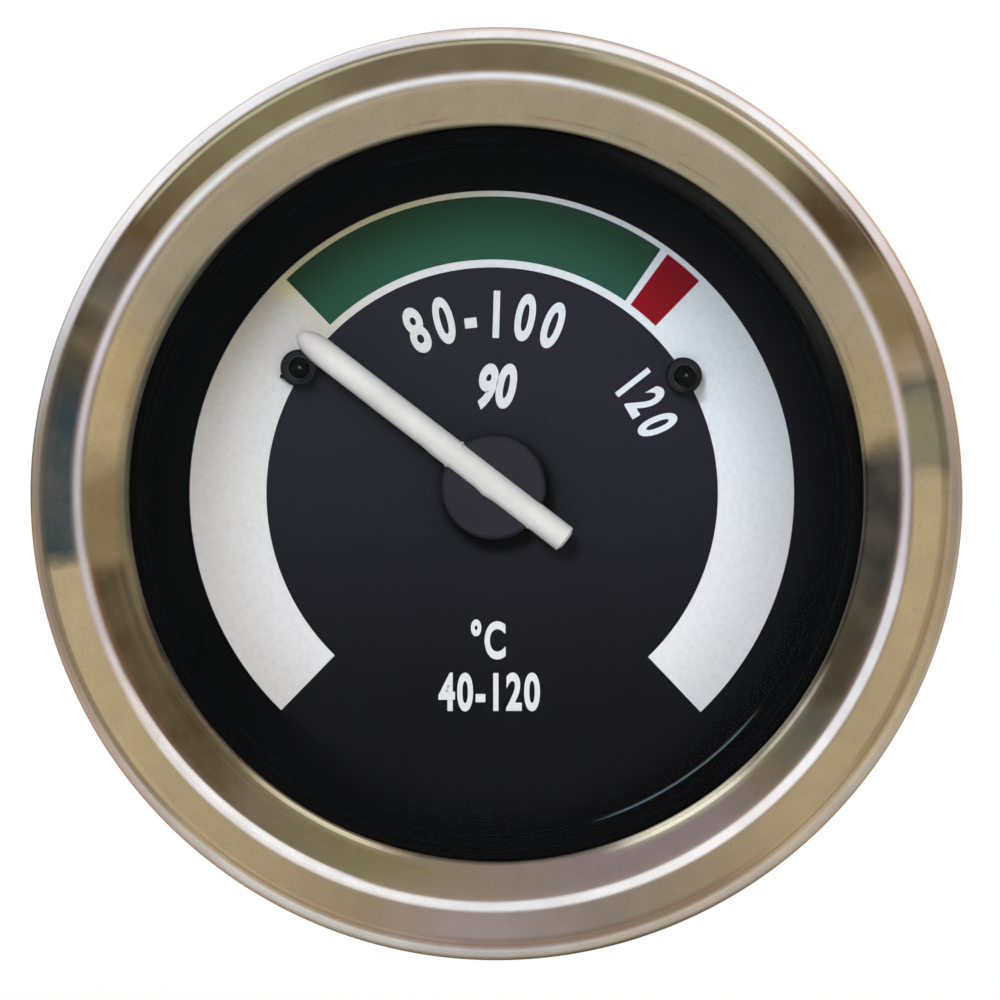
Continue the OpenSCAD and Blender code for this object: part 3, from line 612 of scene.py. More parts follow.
# %% Spots, fine scratches and streaks
def combed(along, across_band):
    """Noise drawn out along or across the bands, from counts of lumps per turn and per millimetre."""
    place = add(nickel, "CombineXYZ", {}, {
        0: product(nickel, turns, along), 1: product(nickel, radius, across_band)})
    return add(nickel, "TexNoise", {}, {"Vector": place, "Scale": 1.0, "Detail": 5.0})


# Olive streaks along the inner band at the lower left
olive_streaks = product(nickel, fade(nickel, combed(9, 2.5), 0.42, 0.62), between(188, 262),
                 fade(nickel, radius, 24.5, 25.2, 0.45, 0.08), fade(nickel, radius, 26.0, 26.4, 1.0, 0.0))
colour = lay(olive_streaks, "84714c")
colour = lay_line(crest_radius, 26.1, 0.05, 0.18, 190, 232, "7a5440", 0.45)
# Radial streaks, painted reflections of the room
streaks = combed(110, 0.4)
colour = mixed(nickel, fade(nickel, streaks, 0.3, 0.7, 0.0, 0.22), colour, linear("a39a8c"), "SOFT_LIGHT")
haze = cloud(nickel, spot, 3.0, 6.0)
colour = lay(fade(nickel, haze, 0.35, 0.7, 0.0, 0.16), "8a8070")
dots = product(nickel, ridge(nickel, radius, 24.3, 0.02, 0.12),
               fade(nickel, combed(60, 1.5), 0.42, 0.7), between(12, 168))
colour = lay(dots, "7c6047", 0.4)
spots = cloud(nickel, spot, 0.35, 8.0)
colour = lay(fade(nickel, spots, 0.66, 0.76, 0.0, 0.28), "6b5a42")
scratches = combed(30, 14)
height = add(nickel, "Math", {"operation": "ADD"}, {0: scratches, 1: spots})
# The narrow lip beside the glass is made dull and not metal, with no scratches, so its painted shade and
# tones show as laid
metal_share = fade(nickel, lip_radius, 23.86, 24.1)
height = product(nickel, height, metal_share)
roughness = add(nickel, "Math", {"operation": "MAXIMUM"}, {
    0: fade(nickel, spots, 0.3, 0.75, 0.2, 0.34), 1: fade(nickel, metal_share, 0.0, 1.0, 0.6, 0.0)})
feed(nickel_shader, {
    "Base Color": colour, "Metallic": metal_share, "Specular Tint": linear("b5a08c"), "Specular IOR Level": 0.2,
    "Roughness": roughness,
    "Normal": add(nickel, "Bump", {}, {"Height": height, "Distance": 0.006 * MM, "Strength": 0.5}),
})
fit(bezel, "housing", "plated_bezel", nickel, "bezel", sharp=35)

# %% [markdown]
# ## A finish for plainer parts
# Most other parts need the same three things: a colour that drifts a little between two or three
# tones, a gloss that isn't quite even, and a fine grain. One function makes such a finish from real
# sizes: how wide a blotch is, how wide a grain is and how deep it is, all in millimetres.

# %% Worn finish
def worn(name, tones, metallic, roughness, blotch, grain, relief, stretch=(1, 1, 1), **sockets):
    """Tones run from dark to light; blotch, grain and relief are in millimetres."""
    finish, shader = start_finish(name)
    place = add(finish, "Mapping", {}, {"Vector": add(finish, "TexCoord", out=3), "Scale": stretch})
    # Noise seldom leaves the range from 0.34 to 0.66, so the tones share that out
    stops = [(0.34 + 0.32 * i / (len(tones) - 1), linear(tone)) for i, tone in enumerate(tones)]
    colour = add(finish, "ValToRGB", {"stops": stops}, {0: cloud(finish, place, blotch, 6.0)})
    fine = cloud(finish, place, grain, 5.0)
    bump = add(finish, "Bump", {}, {"Height": fine, "Distance": relief * MM, "Strength": 1.0})
    feed(shader, {
        "Base Color": colour, "Metallic": metallic, "Normal": bump,
        "Roughness": fade(finish, fine, 0.25, 0.75, roughness * 0.85, roughness * 1.15),
    })
    feed(shader, {socket.replace("_", " "): value for socket, value in sockets.items()})
    return finish


# %% [markdown]
# ## Inner ring, lens and gasket
# Between the glass and the dial sits a deep black ring. It hides the case's bare wall, and its steps
# catch thin lines of light. It is turned like the bezel, and its edges are bevelled. The glass is a
# flat disc with ground edges. It is given a low, even alpha, because the real one is seen only by
# its faint shine, and the exported model has to stay see-through.

# %% Inner ring
ring_line = [
    (29.0, 1.3), (29.0, 1.7), (23.6, 1.7), (23.2, 1.3), (23.2, -0.3), (22.8, -0.5), (22.8, -2.6),
    (22.4, -2.8), (22.4, -3.5), (24.825, -3.5), (24.825, 1.3),
]
inner_ring = turn("inner_ring_moulded", closed(ring_line), steps=192)
modify(inner_ring, "BEVEL", width=0.06 * MM, segments=2, limit_method="ANGLE", angle_limit=math.radians(20))
ring_black, ring_shader = start_finish("moulded_black_phenolic")
place, axes = place_on(ring_black)
angle = add(ring_black, "Math", {"operation": "ARCTAN2"}, {0: axes["Z"], 1: axes["X"]})
radius = dial_radius(ring_black, place)
# A painted reflection lies on the upper right of the ring's outer step, and a thin blue-green painted glint
# lower down
painted_ring_reflection = product(ring_black, window(ring_black, angle, (0.2, 0.55), (1.0, 1.4)),
                fade(ring_black, radius, 22.9, 23.2))
colour = mixed(ring_black, painted_ring_reflection, linear("050506"), linear("262522"))
glint = product(ring_black, window(ring_black, angle, (-1.3, -1.15), (-0.8, -0.65)),
                ridge(ring_black, radius, 22.47, 0.03, 0.06))
colour = mixed(ring_black, glint, colour, linear("56696f"))
feed(ring_shader, {
    "Base Color": colour, "Roughness": fade(ring_black, cloud(ring_black, place, 0.5), 0.3, 0.7, 0.4, 0.55),
    "Specular IOR Level": 0.015,
    "Normal": add(ring_black, "Bump", {}, {"Height": cloud(ring_black, place, 0.25), "Distance": 0.001 * MM}),
})
fit(inner_ring, "housing", "black_plastic", ring_black, "inner_ring")

# %% Lens
lens_line = [(0, 3.4), (28.75, 3.4), (29.0, 3.15), (29.0, 1.95), (28.75, 1.7), (0, 1.7)]
lens = turn("lens_ground", lens_line, steps=128)
clear, clear_shader = start_finish("flat_float_glass")
smear = cloud(clear, add(clear, "TexCoord", out=3), 9.0)
feed(clear_shader, {
    "Base Color": linear("202426"), "IOR": 1.5, "Alpha": 0.03, "Specular IOR Level": 0.5,
    "Roughness": fade(clear, smear, 0.4, 0.7, 0.03, 0.12),
})
fit(lens, "housing", "clear_glass", clear, "lens")

rubber = worn("moulded_black_rubber", ["141414", "1c1c1b", "242321"], 0.0, 0.8, 2.0, 0.2, 0.02,
              Specular_IOR_Level=0.25)
coat_node(rubber, "lens_gasket")

# %% [markdown]
# ## Dial and its print
# The dial is a thin plate sprayed matt black, with a very fine tooth, so it looks a little blue and
# soft rather than deep black. The scale is screen printed in white, green and red. The print has painted
# shade towards the rim and at the top, and it is stained olive at the upper left, with more painted shade
# there.
# The dial and the white band have the right shape in the CAD model, so they keep it. The green and
# the red are made again, because a second screen laps a little over the white.

# %% Dial paint
paint, paint_shader = start_finish("matt_black_dial_paint")
place, axes = place_on(paint)
radius = dial_radius(paint, place)
colour = mixed(paint, fade(paint, axes["Z"], -0.018, 0.010), linear("0f0f12"), linear("25252e"))
tooth = cloud(paint, place, 0.22, 3.0)
colour = mixed(paint, fade(paint, tooth, 0.3, 0.8, 0.0, 0.2), colour, linear("33323a"))
# Painted shade in the corner between the dial and the ring, deepest at the top and left
corner_shade = add(paint, "Math", {"operation": "MULTIPLY_ADD"}, {0: axes["X"], 1: -1.6, 2: axes["Z"]})
corner_shade = mixed(paint, fade(paint, corner_shade, -0.022, 0.022), linear("131318"), linear("040404"))
corner_shade = mixed(paint, fade(paint, radius, 20.0, 22.3, 0.0, 0.75), corner_shade, linear("040404"))
colour = mixed(paint, fade(paint, radius, 19.6, 20.0), colour, corner_shade)
# Painted shadow of the hub, falling a little to its right
hub_shadow = fade(paint, dial_radius(paint, place, at(0.3, -0.02, 0)), 3.3, 4.3, 0.85, 0.0)
colour = mixed(paint, hub_shadow, colour, linear("050506"))
feed(paint_shader, {
    "Base Color": colour, "Roughness": 0.75, "Specular IOR Level": 0.02,
    "Normal": add(paint, "Bump", {}, {"Height": tooth, "Distance": 0.008 * MM}),
})
coat_node(paint, "dial")

# %% Scale print
PAST_GREEN = (-719, 0, -695)    # makes a place in metres millimetres past the green zone's left end


def ink(name, tones, rim_shade_tones, stain_shade_tones, stain_shade_share, creep=0.0):
    """Screen print: tones at the upper left, upper right, lower left and lower right of the dial, darker at
    the top and left as painted shade, a painted shade towards the rim in its own tones at the left and right,
    a stain with painted shade at its upper left that is one tone beside the green and another beyond its end,
    and a mottle."""
    finish, shader = start_finish(name)
    place, axes = place_on(finish)
    radius = dial_radius(finish, place)
    rightness = fade(finish, axes["X"], -0.012, 0.014)
    upper, lower, rim = (mixed(finish, rightness, linear(left), linear(right))
                         for left, right in (tones[:2], tones[2:], rim_shade_tones))
    # Painted shade: darker at the top than at the bottom, and at the left than at the right
    colour = mixed(finish, fade(finish, axes["Z"], -0.012, 0.012), lower, upper)
    # Painted shade towards the rim, deeper at the top
    outer = product(finish, fade(finish, radius, 14.6, 20.4),
                    fade(finish, axes["Z"], -0.016, 0.014, 0.45, 1.0))
    colour = mixed(finish, outer, colour, rim, "MULTIPLY")
    # The stain and the painted shade laid with it are strongest at the upper left, and the stain follows the
    # end of the green zone
    angle = add(finish, "Math", {"operation": "ARCTAN2"}, {0: axes["Z"], 1: axes["X"]})
    angle = add(finish, "Math", {"operation": "MULTIPLY_ADD"},
                {0: cloud(finish, place, 1.6, 7.0), 1: 0.16, 2: angle})
    stain_shade = product(finish, window(finish, angle, (1.5, 2.0), (2.5, 3.15)),
                   fade(finish, radius, 17.3, 19.7), stain_shade_share)
    beyond = add(finish, "VectorMath", {"operation": "DOT_PRODUCT"}, {0: place, 1: PAST_GREEN}, 1)
    beyond = add(finish, "Math", {"operation": "MULTIPLY_ADD"},
                 {0: cloud(finish, place, 0.5, 5.0), 1: 0.7, 2: beyond})
    crept = product(finish, window(finish, beyond, (-4.0, 0.3), (0.8, 1.9)),
                    fade(finish, axes["Z"], 0.0, 0.004, 0.0, creep))
    colour = mixed(finish, crept, colour, linear("b8b288"))
    stain = mixed(finish, fade(finish, beyond, 0.6, 1.8), linear(stain_shade_tones[0]), linear(stain_shade_tones[1]))
    colour = mixed(finish, stain_shade, colour, stain)
    mottle = cloud(finish, place, 0.35, 4.0)
    colour = mixed(finish, fade(finish, mottle, 0.35, 0.75, 0.0, 0.1), colour, linear("8d8a82"), "MULTIPLY")
    feed(shader, {
        "Base Color": colour, "Roughness": 0.6, "Specular IOR Level": 0.05,
        "Normal": add(finish, "Bump", {}, {"Height": mottle, "Distance": 0.006 * MM}),
    })
    return finish


white_ink = ink("white_screen_ink", ("d0d1d3", "dae3ec", "e0e0e3", "e6e8ed"), ("cfc9bf", "cacbcd"),
                ("a39d7a", "9d9587"), 0.9, creep=0.35)
green_ink = ink("green_screen_ink", ("28513f", "285344") * 2, ("b0948c", "bea098"), ("16301f",) * 2, 0.7)
red_ink = ink("red_screen_ink", ("870f1d",) * 4, ("c0c0c0",) * 2, ("5f1420",) * 2, 0.2)
coat_node(white_ink, "scale_band")

# %% Green and red zones
ZONE_INNER, ZONE_OUTER = 15.33, 19.46
ZONE_RISE = 0.012       # how far it stands in front of the white


def printed_zone(name, start, end, finish, slot, node):
    """Coloured ink between two angles in degrees, a little thicker than the CAD node."""
    front, back = depths(node)
    piece = draw_line(name, [(ZONE_INNER, front + ZONE_RISE), (ZONE_OUTER, front + ZONE_RISE)], (0, 0))
    bpy.ops.mesh.spin(steps=int(end - start), angle=math.radians(end - start), center=(0, 0, 0),
                      axis=(0, 1, 0))
    bpy.ops.object.mode_set(mode="OBJECT")
    piece.rotation_euler = (0, -math.radians(start), 0)
    settle(piece)
    face_front(piece)
    modify(piece, "SOLIDIFY", thickness=(front - back) * MM, offset=-1)
    return fit(piece, "housing", slot, finish, node)


printed_zone("normal_zone_printed", 55.4, 134.0, green_ink, "dial_green", "normal_zone")
printed_zone("stop_zone_printed", 45.75, 53.8, red_ink, "dial_red", "stop_zone")

# %% [markdown]
# ## Numbers
# Where the real dial carries words, this one carries plain numbers in degrees Celsius. They are set
# with Blender's own font, made bold and squeezed to the narrow letters that such dials have. Each
# number is a text object first. It is made a mesh before it is scaled and turned into its place.
# Numbers on an arc are set one sign at a time, each turned with the arc.

# %% Set the numbers
INK = 0.03      # thickness of the raised print
CAP = 0.72      # height of a numeral for a text size of 1


def sign(text, cap, place, tilt=0.0, narrow=0.62, slant=0.0, gap=1.0, bold=0.035):
    """Text with numerals cap millimetres high, its lower middle at place, tilted to the right."""
    deselect()
    bpy.ops.object.text_add()
    glyph = bpy.context.object
    glyph.data.body, glyph.data.align_x = text, "CENTER"
    glyph.data.shear, glyph.data.space_character = slant, gap
    glyph.data.offset, glyph.data.extrude, glyph.data.resolution_u = bold, INK / cap * CAP / 2, 6
    bpy.ops.object.convert(target="MESH")
    size = cap / CAP * MM
    glyph.scale = (size * narrow, size, size)
    glyph.rotation_euler = (math.pi / 2, tilt, 0)
    glyph.location = at(*place, dial_front + INK)
    return settle(glyph)


dial_front = depths("dial")[0]
arc_centre = Vector((-0.1, 0.0))


def on_arc(signs, cap, base_radius, **style):
    """Signs with their own angles, set on an arc round the scale's middle."""
    made = []
    for text, degrees in signs:
        angle = math.radians(degrees)
        spot = arc_centre + base_radius * Vector((math.cos(angle), math.sin(angle)))
        made.append(sign(text, cap, spot, tilt=math.pi / 2 - angle, **style))
    return made


normal_range = on_arc(
    [("8", 114.5), ("0", 105.3), ("-", 96.8), ("1", 88.3), ("0", 79), ("0", 69.8)], 2.96, 10.34)
high_mark = on_arc([("1", 38.0), ("2", 30.6), ("0", 22.4)], 2.6, 10.6)
marks = [
    sign("90", 2.7, (0.05, 5.75), slant=0.28, bold=0.045, narrow=0.66),
    sign("°C", 2.35, (-0.3, -10.75), gap=1.12),
    sign("40-120", 2.38, (-0.2, -14.15), gap=1.16),
]
numbers = joined("dial_numbers", *normal_range, *high_mark, *marks)
fit(numbers, "housing", "dial_white", white_ink)

# %% [markdown]
# ## Stop pins
# Two small pins of black plastic stand in the dial at both ends of the scale. Each has a wider collar
# round it, with a rounded rim that carries a painted thin ring of light and a painted sheen beyond it,
# and a domed end with a painted highlight at its tip. Pin and collar are turned once and copied, and a
# small moulding pip stands beside the left collar. The pointer's bar sits a little off its spindle, so
# the tip of the high pin is bent outwards to leave the bar room.

# %% Pins and collars
PIN_R, RIVET_R, COLLAR_R = 0.6, 1.0, 1.175     # the pin, its rivet head behind the dial, its collar
pin_top, collar_top = depths("stop_pins")[0], depths("stop_buffers")[0]
pin_line = (
    [(0, -6.5), (RIVET_R - 0.05, -6.5), (RIVET_R, -6.45), (RIVET_R, -6.05), (RIVET_R - 0.05, -6.0)]
    + [(PIN_R, -6.0), (PIN_R, collar_top + 0.02), (PIN_R, collar_top + 0.12), (PIN_R, pin_top - 0.33)]
    + arc((0, pin_top - 0.71), 0.71, 32, 90, 6)
)
collar_line = (
    [(0.65, -3.5), (COLLAR_R, -3.5)]
    + arc((COLLAR_R - 0.25, collar_top - 0.25), 0.25, 0, 90, 5)
    + [(0.78, collar_top - 0.04), (0.65, collar_top - 0.14)]
)


def at_both(node, name, line, steps):
    """A piece turned at the left one of a CAD node's two places, and its copy at the right one."""
    left, right = middle(node, -1), middle(node, 1)
    piece = turn(name, line, left.xy, steps)
    return piece, copy_of(piece, name + "_high", at(*(right - left).xy, 0))


def paint_highlight(finish, tone, start, end, low, high):
    """Paints a highlight on a finish between two distances from the nearer pin's middle, in millimetres."""
    place = add(finish, "TexCoord", out=3)
    left, right = (dial_radius(finish, place, at(*middle("stop_pins", side).xy, 0)) for side in (-1, 1))
    near = add(finish, "Math", {"operation": "MINIMUM"}, {0: left, 1: right})
    share = product(finish, fade(finish, near, *start), fade(finish, near, *end, high, low))
    shader = finish.node_tree.nodes["Principled BSDF"]
    before = shader.inputs["Base Color"].links[0].from_socket
    feed(shader, {"Base Color": mixed(finish, share, before, linear(tone))})
    return finish


pin_black = worn("moulded_black_nylon", ["050506", "08090a", "0c0d0e"], 0.0, 0.5, 0.6, 0.12, 0.008,
                 Specular_IOR_Level=0.05)
# A painted highlight at the tip of each pin's dome
paint_highlight(pin_black, "8a9a98", (-0.2, -0.1), (0.02, 0.12), 0.0, 0.65)
low_pin, high_pin = at_both("stop_pins", "pin", pin_line, 40)
pick(high_pin, "VERT", lambda p: p.z > collar_top + 0.1)
bpy.ops.transform.translate(value=at(0.1, -0.13, 0))
pins = joined("stop_pins_turned", low_pin, high_pin)
fit(pins, "housing", "black_pin", pin_black, "stop_pins")
collar_black = worn("soft_black_rubber", ["08080a", "0c0c10", "131318"], 0.0, 0.5, 0.5, 0.1, 0.012,
                    Specular_IOR_Level=0.1)
# A painted ring of light on each collar's rim, and a painted bluish sheen on its top
paint_highlight(collar_black, "54575e", (0.68, 0.74), (0.76, 0.84), 0.0, 0.6)
paint_highlight(collar_black, "2c2e36", (0.8, 0.9), (1.0, 1.12), 0.0, 0.7)
PIP_R = 0.16
beside = middle("stop_buffers", -1).xy - Vector((1.09, 0.55))
pip_line = [(0, collar_top - 1.2), (PIP_R, collar_top - 1.2)] + arc((0, collar_top - 0.5), PIP_R, 0, 90, 4)
pip = turn("pip", pip_line, beside, 16)
collars = joined("stop_collars_turned", *at_both("stop_buffers", "collar", closed(collar_line), 48), pip)
fit(collars, "housing", "rubber", collar_black, "stop_buffers")

# %% [markdown]
# ## Pointer
# The pointer is a moulded white bar with a round back, flat below. It ends in a rounded nose, and its
# square tail shows a thin seam where the moulded cap was snapped on. It starts as a lying cylinder
# that is pressed flat below. The nose is drawn out of one end face in shrinking steps, and the tail
# gets an inset and a short step. Then it is turned to its angle of rest round the spindle.

# %% Pointer shape
HALF = 0.9                  # half of the bar's width
TIP, TAIL = 16.25, 5.7      # how far both ends lie from the spindle
NOSE = 1.98                 # length of the rounded nose
spindle = (0.0, 0.4)
pointer_top, pointer_low = depths("pointer")
rest_angle = math.radians(142.4)

deselect()
bpy.ops.mesh.primitive_cylinder_add(
    vertices=48, radius=HALF * MM, depth=(TIP + TAIL - NOSE) * MM,
    location=at((TIP - NOSE - TAIL) / 2, 0, 0), rotation=(0, math.pi / 2, 0))
pointer = settle(bpy.context.object)
pointer.name = "pointer_bar"
pick(pointer, "FACE", lambda p: p.x > TIP - NOSE - 0.01)
reach, girth = 0.0, 1.0
for step in range(1, 9):
    angle = step / 8 * math.pi / 2
    target = max(math.cos(angle), 0.02)
    bpy.ops.mesh.extrude_region_move(
        TRANSFORM_OT_translate={"value": at(NOSE * math.sin(angle) - reach, 0, 0)})
    bpy.ops.transform.resize(value=(1, target / girth, target / girth),
                             center_override=at(TIP - NOSE + NOSE * math.sin(angle), 0, 0))
    reach, girth = NOSE * math.sin(angle), target
pick(pointer, "FACE", lambda p: p.x < 0.01 - TAIL)
bpy.ops.mesh.inset(thickness=0.06 * MM, depth=0)
bpy.ops.transform.translate(value=at(-0.06, 0, 0))
bpy.ops.mesh.inset(thickness=0.16 * MM, depth=0)
bpy.ops.mesh.extrude_region_move(TRANSFORM_OT_translate={"value": at(0.05, 0, 0)})
bpy.ops.mesh.inset(thickness=0.03 * MM, depth=0)
bpy.ops.mesh.extrude_region_move(TRANSFORM_OT_translate={"value": at(-0.16, 0, 0)})
bpy.ops.object.mode_set(mode="OBJECT")

# %% Press it flat below and give it its height
below = -0.34       # height of the flat, against the axis of the round back
pick(pointer, "VERT", lambda p: p.z < below)
bpy.ops.transform.resize(value=(1, 0, 1), center_override=at(0, 0, below))
bpy.ops.object.mode_set(mode="OBJECT")
pointer.scale.y = (pointer_top - pointer_low) / (HALF - below)
settle(pointer)

# %% The lower edge swells a little where the lacquer ran, and has two specks at the hub's rim
for along in (5.2, 4.65, 3.5, 3.38, 3.26, 0.9, 0.3, -0.5, -3.3, -3.5):
    edit(pointer)
    bpy.ops.mesh.bisect(plane_co=at(along, 0, 0), plane_no=(1, 0, 0))
for low, high, edge, shift in (
    (-3.35, 4.7, 1, 0.06), (0.25, 0.35, 1, 0.1), (3.35, 3.4, 1, 0.09), (3.35, 3.4, -1, 0.12),
):
    pick(pointer, "VERT", lambda p: low < p.x < high and p.y * edge > 0.6 * HALF)
    bpy.ops.transform.translate(value=at(0, shift * edge, 0))
bpy.ops.object.mode_set(mode="OBJECT")

# %% Turn it to its angle of rest
front_now = -min(v.co.y for v in pointer.data.vertices)
pointer.location = at(spindle[0] + 0.09, spindle[1] + 0.12, pointer_top) + Vector((0, front_now, 0))
pointer.rotation_euler = (0, -rest_angle, 0)
settle(pointer)
reached = [to_dial(v.co) for v in pointer.data.vertices]
print("pointer front", round(max(p.z for p in reached), 2), "back", round(min(p.z for p in reached), 2))
pointer_white = worn("white_lacquered_moulding", ["cecfce", "d5d5d4", "dadad8"], 0.0, 0.42, 3.0, 0.3, 0.008,
                     Specular_IOR_Level=0.3)
shader = pointer_white.node_tree.nodes["Principled BSDF"]
lacquer = shader.inputs["Base Color"].links[0].from_socket
outward = Vector((math.cos(rest_angle), 0, math.sin(rest_angle)))
along = add(pointer_white, "VectorMath", {"operation": "DOT_PRODUCT"},
            {0: add(pointer_white, "TexCoord", out=3), 1: outward}, 1)
# The nose is greyer, and the seam at the tail is brown
for ends, tone in (((0.0125, 0.0158, 0.0, 0.7), "c3c2c1"), ((-0.0057, -0.00562, 1.0, 0.0), "a88676")):
    lacquer = mixed(pointer_white, fade(pointer_white, along, *ends), lacquer, linear(tone))
feed(shader, {"Base Color": lacquer})
fit(pointer, "needle", "pointer_white", pointer_white, "pointer", sharp=35)

# %% [markdown]
# ## Hub
# The pointer is pressed into a charcoal disc. The disc was cast in a rough mould, so its face has a
# coarse grain with small bright crumbs, while its edge is rounded. It is turned, and the grain is a
# bump with a size of about an eighth of a millimetre.

# %% Hub
hub_top, hub_low = depths("pointer_hub")
hub_line = (
    [(0, hub_low), (1.2, hub_low), (1.2, -3.1), (3.15, -3.1)]
    + arc((3.1, -2.8), 0.3, -90, 0, 4)[1:]
    + arc((3.05, hub_top - 0.35), 0.35, 0, 90, 6)
    + [(2.2, hub_top), (0, hub_top - 0.02)]
)
hub = turn("hub_disc", hub_line, spindle, 96)
charcoal, charcoal_shader = start_finish("cast_charcoal_resin")
place = add(charcoal, "TexCoord", out=3)
grain = cloud(charcoal, place, 0.13, 8.0)
crumbs = add(charcoal, "TexVoronoi", {}, {"Vector": place, "Scale": 1 / (0.3 * MM)})
colour = mixed(charcoal, fade(charcoal, grain, 0.3, 0.7), linear("1d1b22"), linear("2f2d37"))
colour = mixed(charcoal, fade(charcoal, crumbs, 0.05, 0.2, 0.55, 0.0), colour, linear("5a5862"))
feed(charcoal_shader, {
    "Base Color": colour, "Roughness": 0.6, "Specular IOR Level": 0.12,
    "Normal": add(charcoal, "Bump", {}, {"Height": grain, "Distance": 0.03 * MM}),
})
fit(hub, "needle", "hub_black", charcoal, "pointer_hub")

# %% [markdown]
# ## Case and movement
# The case is a drawn can of zinc-plated steel. Zinc dulls to a pale grey with cloudy patches, and a
# drawn can keeps faint lines along its length. The movement inside is seen only where the case has
# openings, but each of its parts still gets what it is made of: enamelled copper wire, brown moulded
# bobbins, brass bearings and a soft iron shield.

# %% Case
zinc = worn("zinc_plated_steel", ["a9a7a0", "b0aea7", "b7b5af"], 1.0, 0.36, 7.0, 0.35, 0.01,
            stretch=(1, 0.25, 1))
soften("case", 0.08, "housing", "zinc_steel", zinc)

# %% Finishes of the movement
# Each row: name, tones, metallic, roughness, then blotch, grain and relief in millimetres, and nodes
for *finish, nodes in (
    ("moulded_black_abs", ["121213", "1a1a1b", "222223"], 0.0, 0.5, 3.0, 0.2, 0.01, ["carrier_plate"]),
    ("ground_steel", ["8d8e90", "a1a2a4", "b2b3b4"], 1.0, 0.25, 1.0, 0.15, 0.004, ["spindle"]),
    ("sintered_ferrite", ["2c2b2c", "383738", "454344"], 0.2, 0.6, 1.0, 0.2, 0.015,
     ["rotor_magnet", "return_magnet"]),
    ("brown_moulded_bakelite", ["3a2418", "4a2f1f", "573827"], 0.0, 0.4, 2.0, 0.25, 0.01,
     ["bobbin_front", "bobbin_rear"]),
    ("mild_steel_shield", ["7a7871", "8b8982", "999790"], 1.0, 0.42, 4.0, 0.3, 0.012, ["shield_can"]),
    ("film_resistor_body", ["b9a47c", "c4b08a", "cdbb97"], 0.0, 0.5, 1.5, 0.2, 0.01, ["series_resistor"]),
    ("tinned_copper_wire", ["a8a6a2", "bab8b3", "c8c6c1"], 1.0, 0.3, 0.8, 0.1, 0.004, ["resistor_leads"]),
):
    coat_node(worn(*finish), *nodes)


WIRE = 0.2      # thickness of the wire, drawn thicker than it is so that it shows


def winding(name, along):
    """Enamelled wire, wound side by side. A band of the texture repeats after 0.314 of its unit."""
    finish, shader = start_finish(name)
    wires = add(finish, "TexWave", {"wave_type": "BANDS", "bands_direction": along},
                {"Vector": add(finish, "TexCoord", out=3), "Scale": 0.314 / (WIRE * MM), "Distortion": 0.4})
    colour = mixed(finish, fade(finish, wires, 0.1, 0.9), linear("5a2a16"), linear("b9683a"))
    feed(shader, {
        "Base Color": colour, "Metallic": 0.85, "Roughness": 0.32, "Coat Weight": 0.4,
        "Normal": add(finish, "Bump", {}, {"Height": wires, "Distance": 0.05 * MM}),
    })
    return finish


coat_node(winding("enamelled_wire_inner", "X"), "inner_coil")
coat_node(winding("enamelled_wire_outer", "Z"), "outer_coil")

# %% [markdown]
# ## Metals and boards at the back
# The fasteners are plated steel, the blades are tinned brass, and the boards are cut from brown
# resin-bonded paper, which shows a fibrous cloud and a dull sheen. Brass that has been handled goes
# brown in patches.

# %% Finishes at the back
plated = worn("bright_zinc_plated_steel", ["b3b1a8", "bcbab1", "c4c2ba"], 1.0, 0.3, 3.0, 0.2, 0.008)
brass = worn("handled_brass", ["9a8052", "ad935f", "bba26d"], 1.0, 0.3, 3.0, 0.18, 0.008)
tinned = worn("tinned_brass", ["b0a684", "bbb292", "c6bea1"], 1.0, 0.28, 3.0, 0.2, 0.006)
spring = worn("blued_spring_steel", ["34363b", "44474d", "585a5e"], 1.0, 0.35, 1.5, 0.15, 0.006)
paper_board = worn("resin_bonded_paper", ["3a2114", "4a2b1a", "5a3722"], 0.0, 0.5, 3.0, 0.25, 0.012,
                   stretch=(0.25, 1, 1))
coat_node(brass, "front_bearing", "rear_bearing")
coat_node(paper_board, "base_plate")
coat_node(plated, "stud_sleeves")

# %% [markdown]
# ## Studs, washers and nuts
# Two M4 studs come out of the case. A thread is a zigzag line carried round and along the rod, so the
# Screw modifier makes it from a line one pitch long. Its turns are merged, both ends are cut square
# and closed, and a plain shank and a chamfered point are turned for it. The hexagon nuts start as a
# six-sided bar that is trimmed by a turned blank, which leaves the curved corners of a real nut.

# %% Threaded studs
STUD_X = 14.5       # both studs stand this far from the middle
PITCH = 0.7


def pair(name, piece):
    """The same piece on both studs."""
    return joined(name, piece, copy_of(piece, name + "_twin", at(2 * STUD_X, 0, 0)))


def threaded_stud(name):
    start, end = -33.0, -49.6
    core, full = 1.57, 1.98     # radii at the root and the crest of the thread
    piece = draw_line(name, [(core, start + PITCH), (full, start + PITCH / 2), (core, start)], (0, 0))
    bpy.ops.object.mode_set(mode="OBJECT")
    rounds = int((start - end) / PITCH) + 3
    modify(piece, "SCREW", axis="Y", angle=TURN, screw_offset=PITCH * MM, iterations=rounds, steps=28,
           render_steps=28)
    edit(piece)
    bpy.ops.mesh.remove_doubles(threshold=1e-6)
    for front, cut in ((start - PITCH, {"clear_inner": True}), (end, {"clear_outer": True})):
        bpy.ops.mesh.select_all(action="SELECT")
        bpy.ops.mesh.bisect(plane_co=at(0, 0, front), plane_no=(0, 1, 0), use_fill=True, **cut)
    bpy.ops.mesh.select_all(action="SELECT")
    bpy.ops.mesh.normals_make_consistent(inside=False)
    bpy.ops.object.mode_set(mode="OBJECT")
    print("thread with", rounds, "turns and", len(piece.data.polygons), "faces")
    shank = turn("shank", [(0, -24.6), (1.95, -24.6), (1.95, -33.8), (1.7, -34.1), (0, -34.1)], steps=48)
    point = turn("point", [(0, -49.0), (core, -49.0), (core, -49.65), (1.25, -50), (0, -50)], steps=48)
    return joined(name, piece, shank, point)


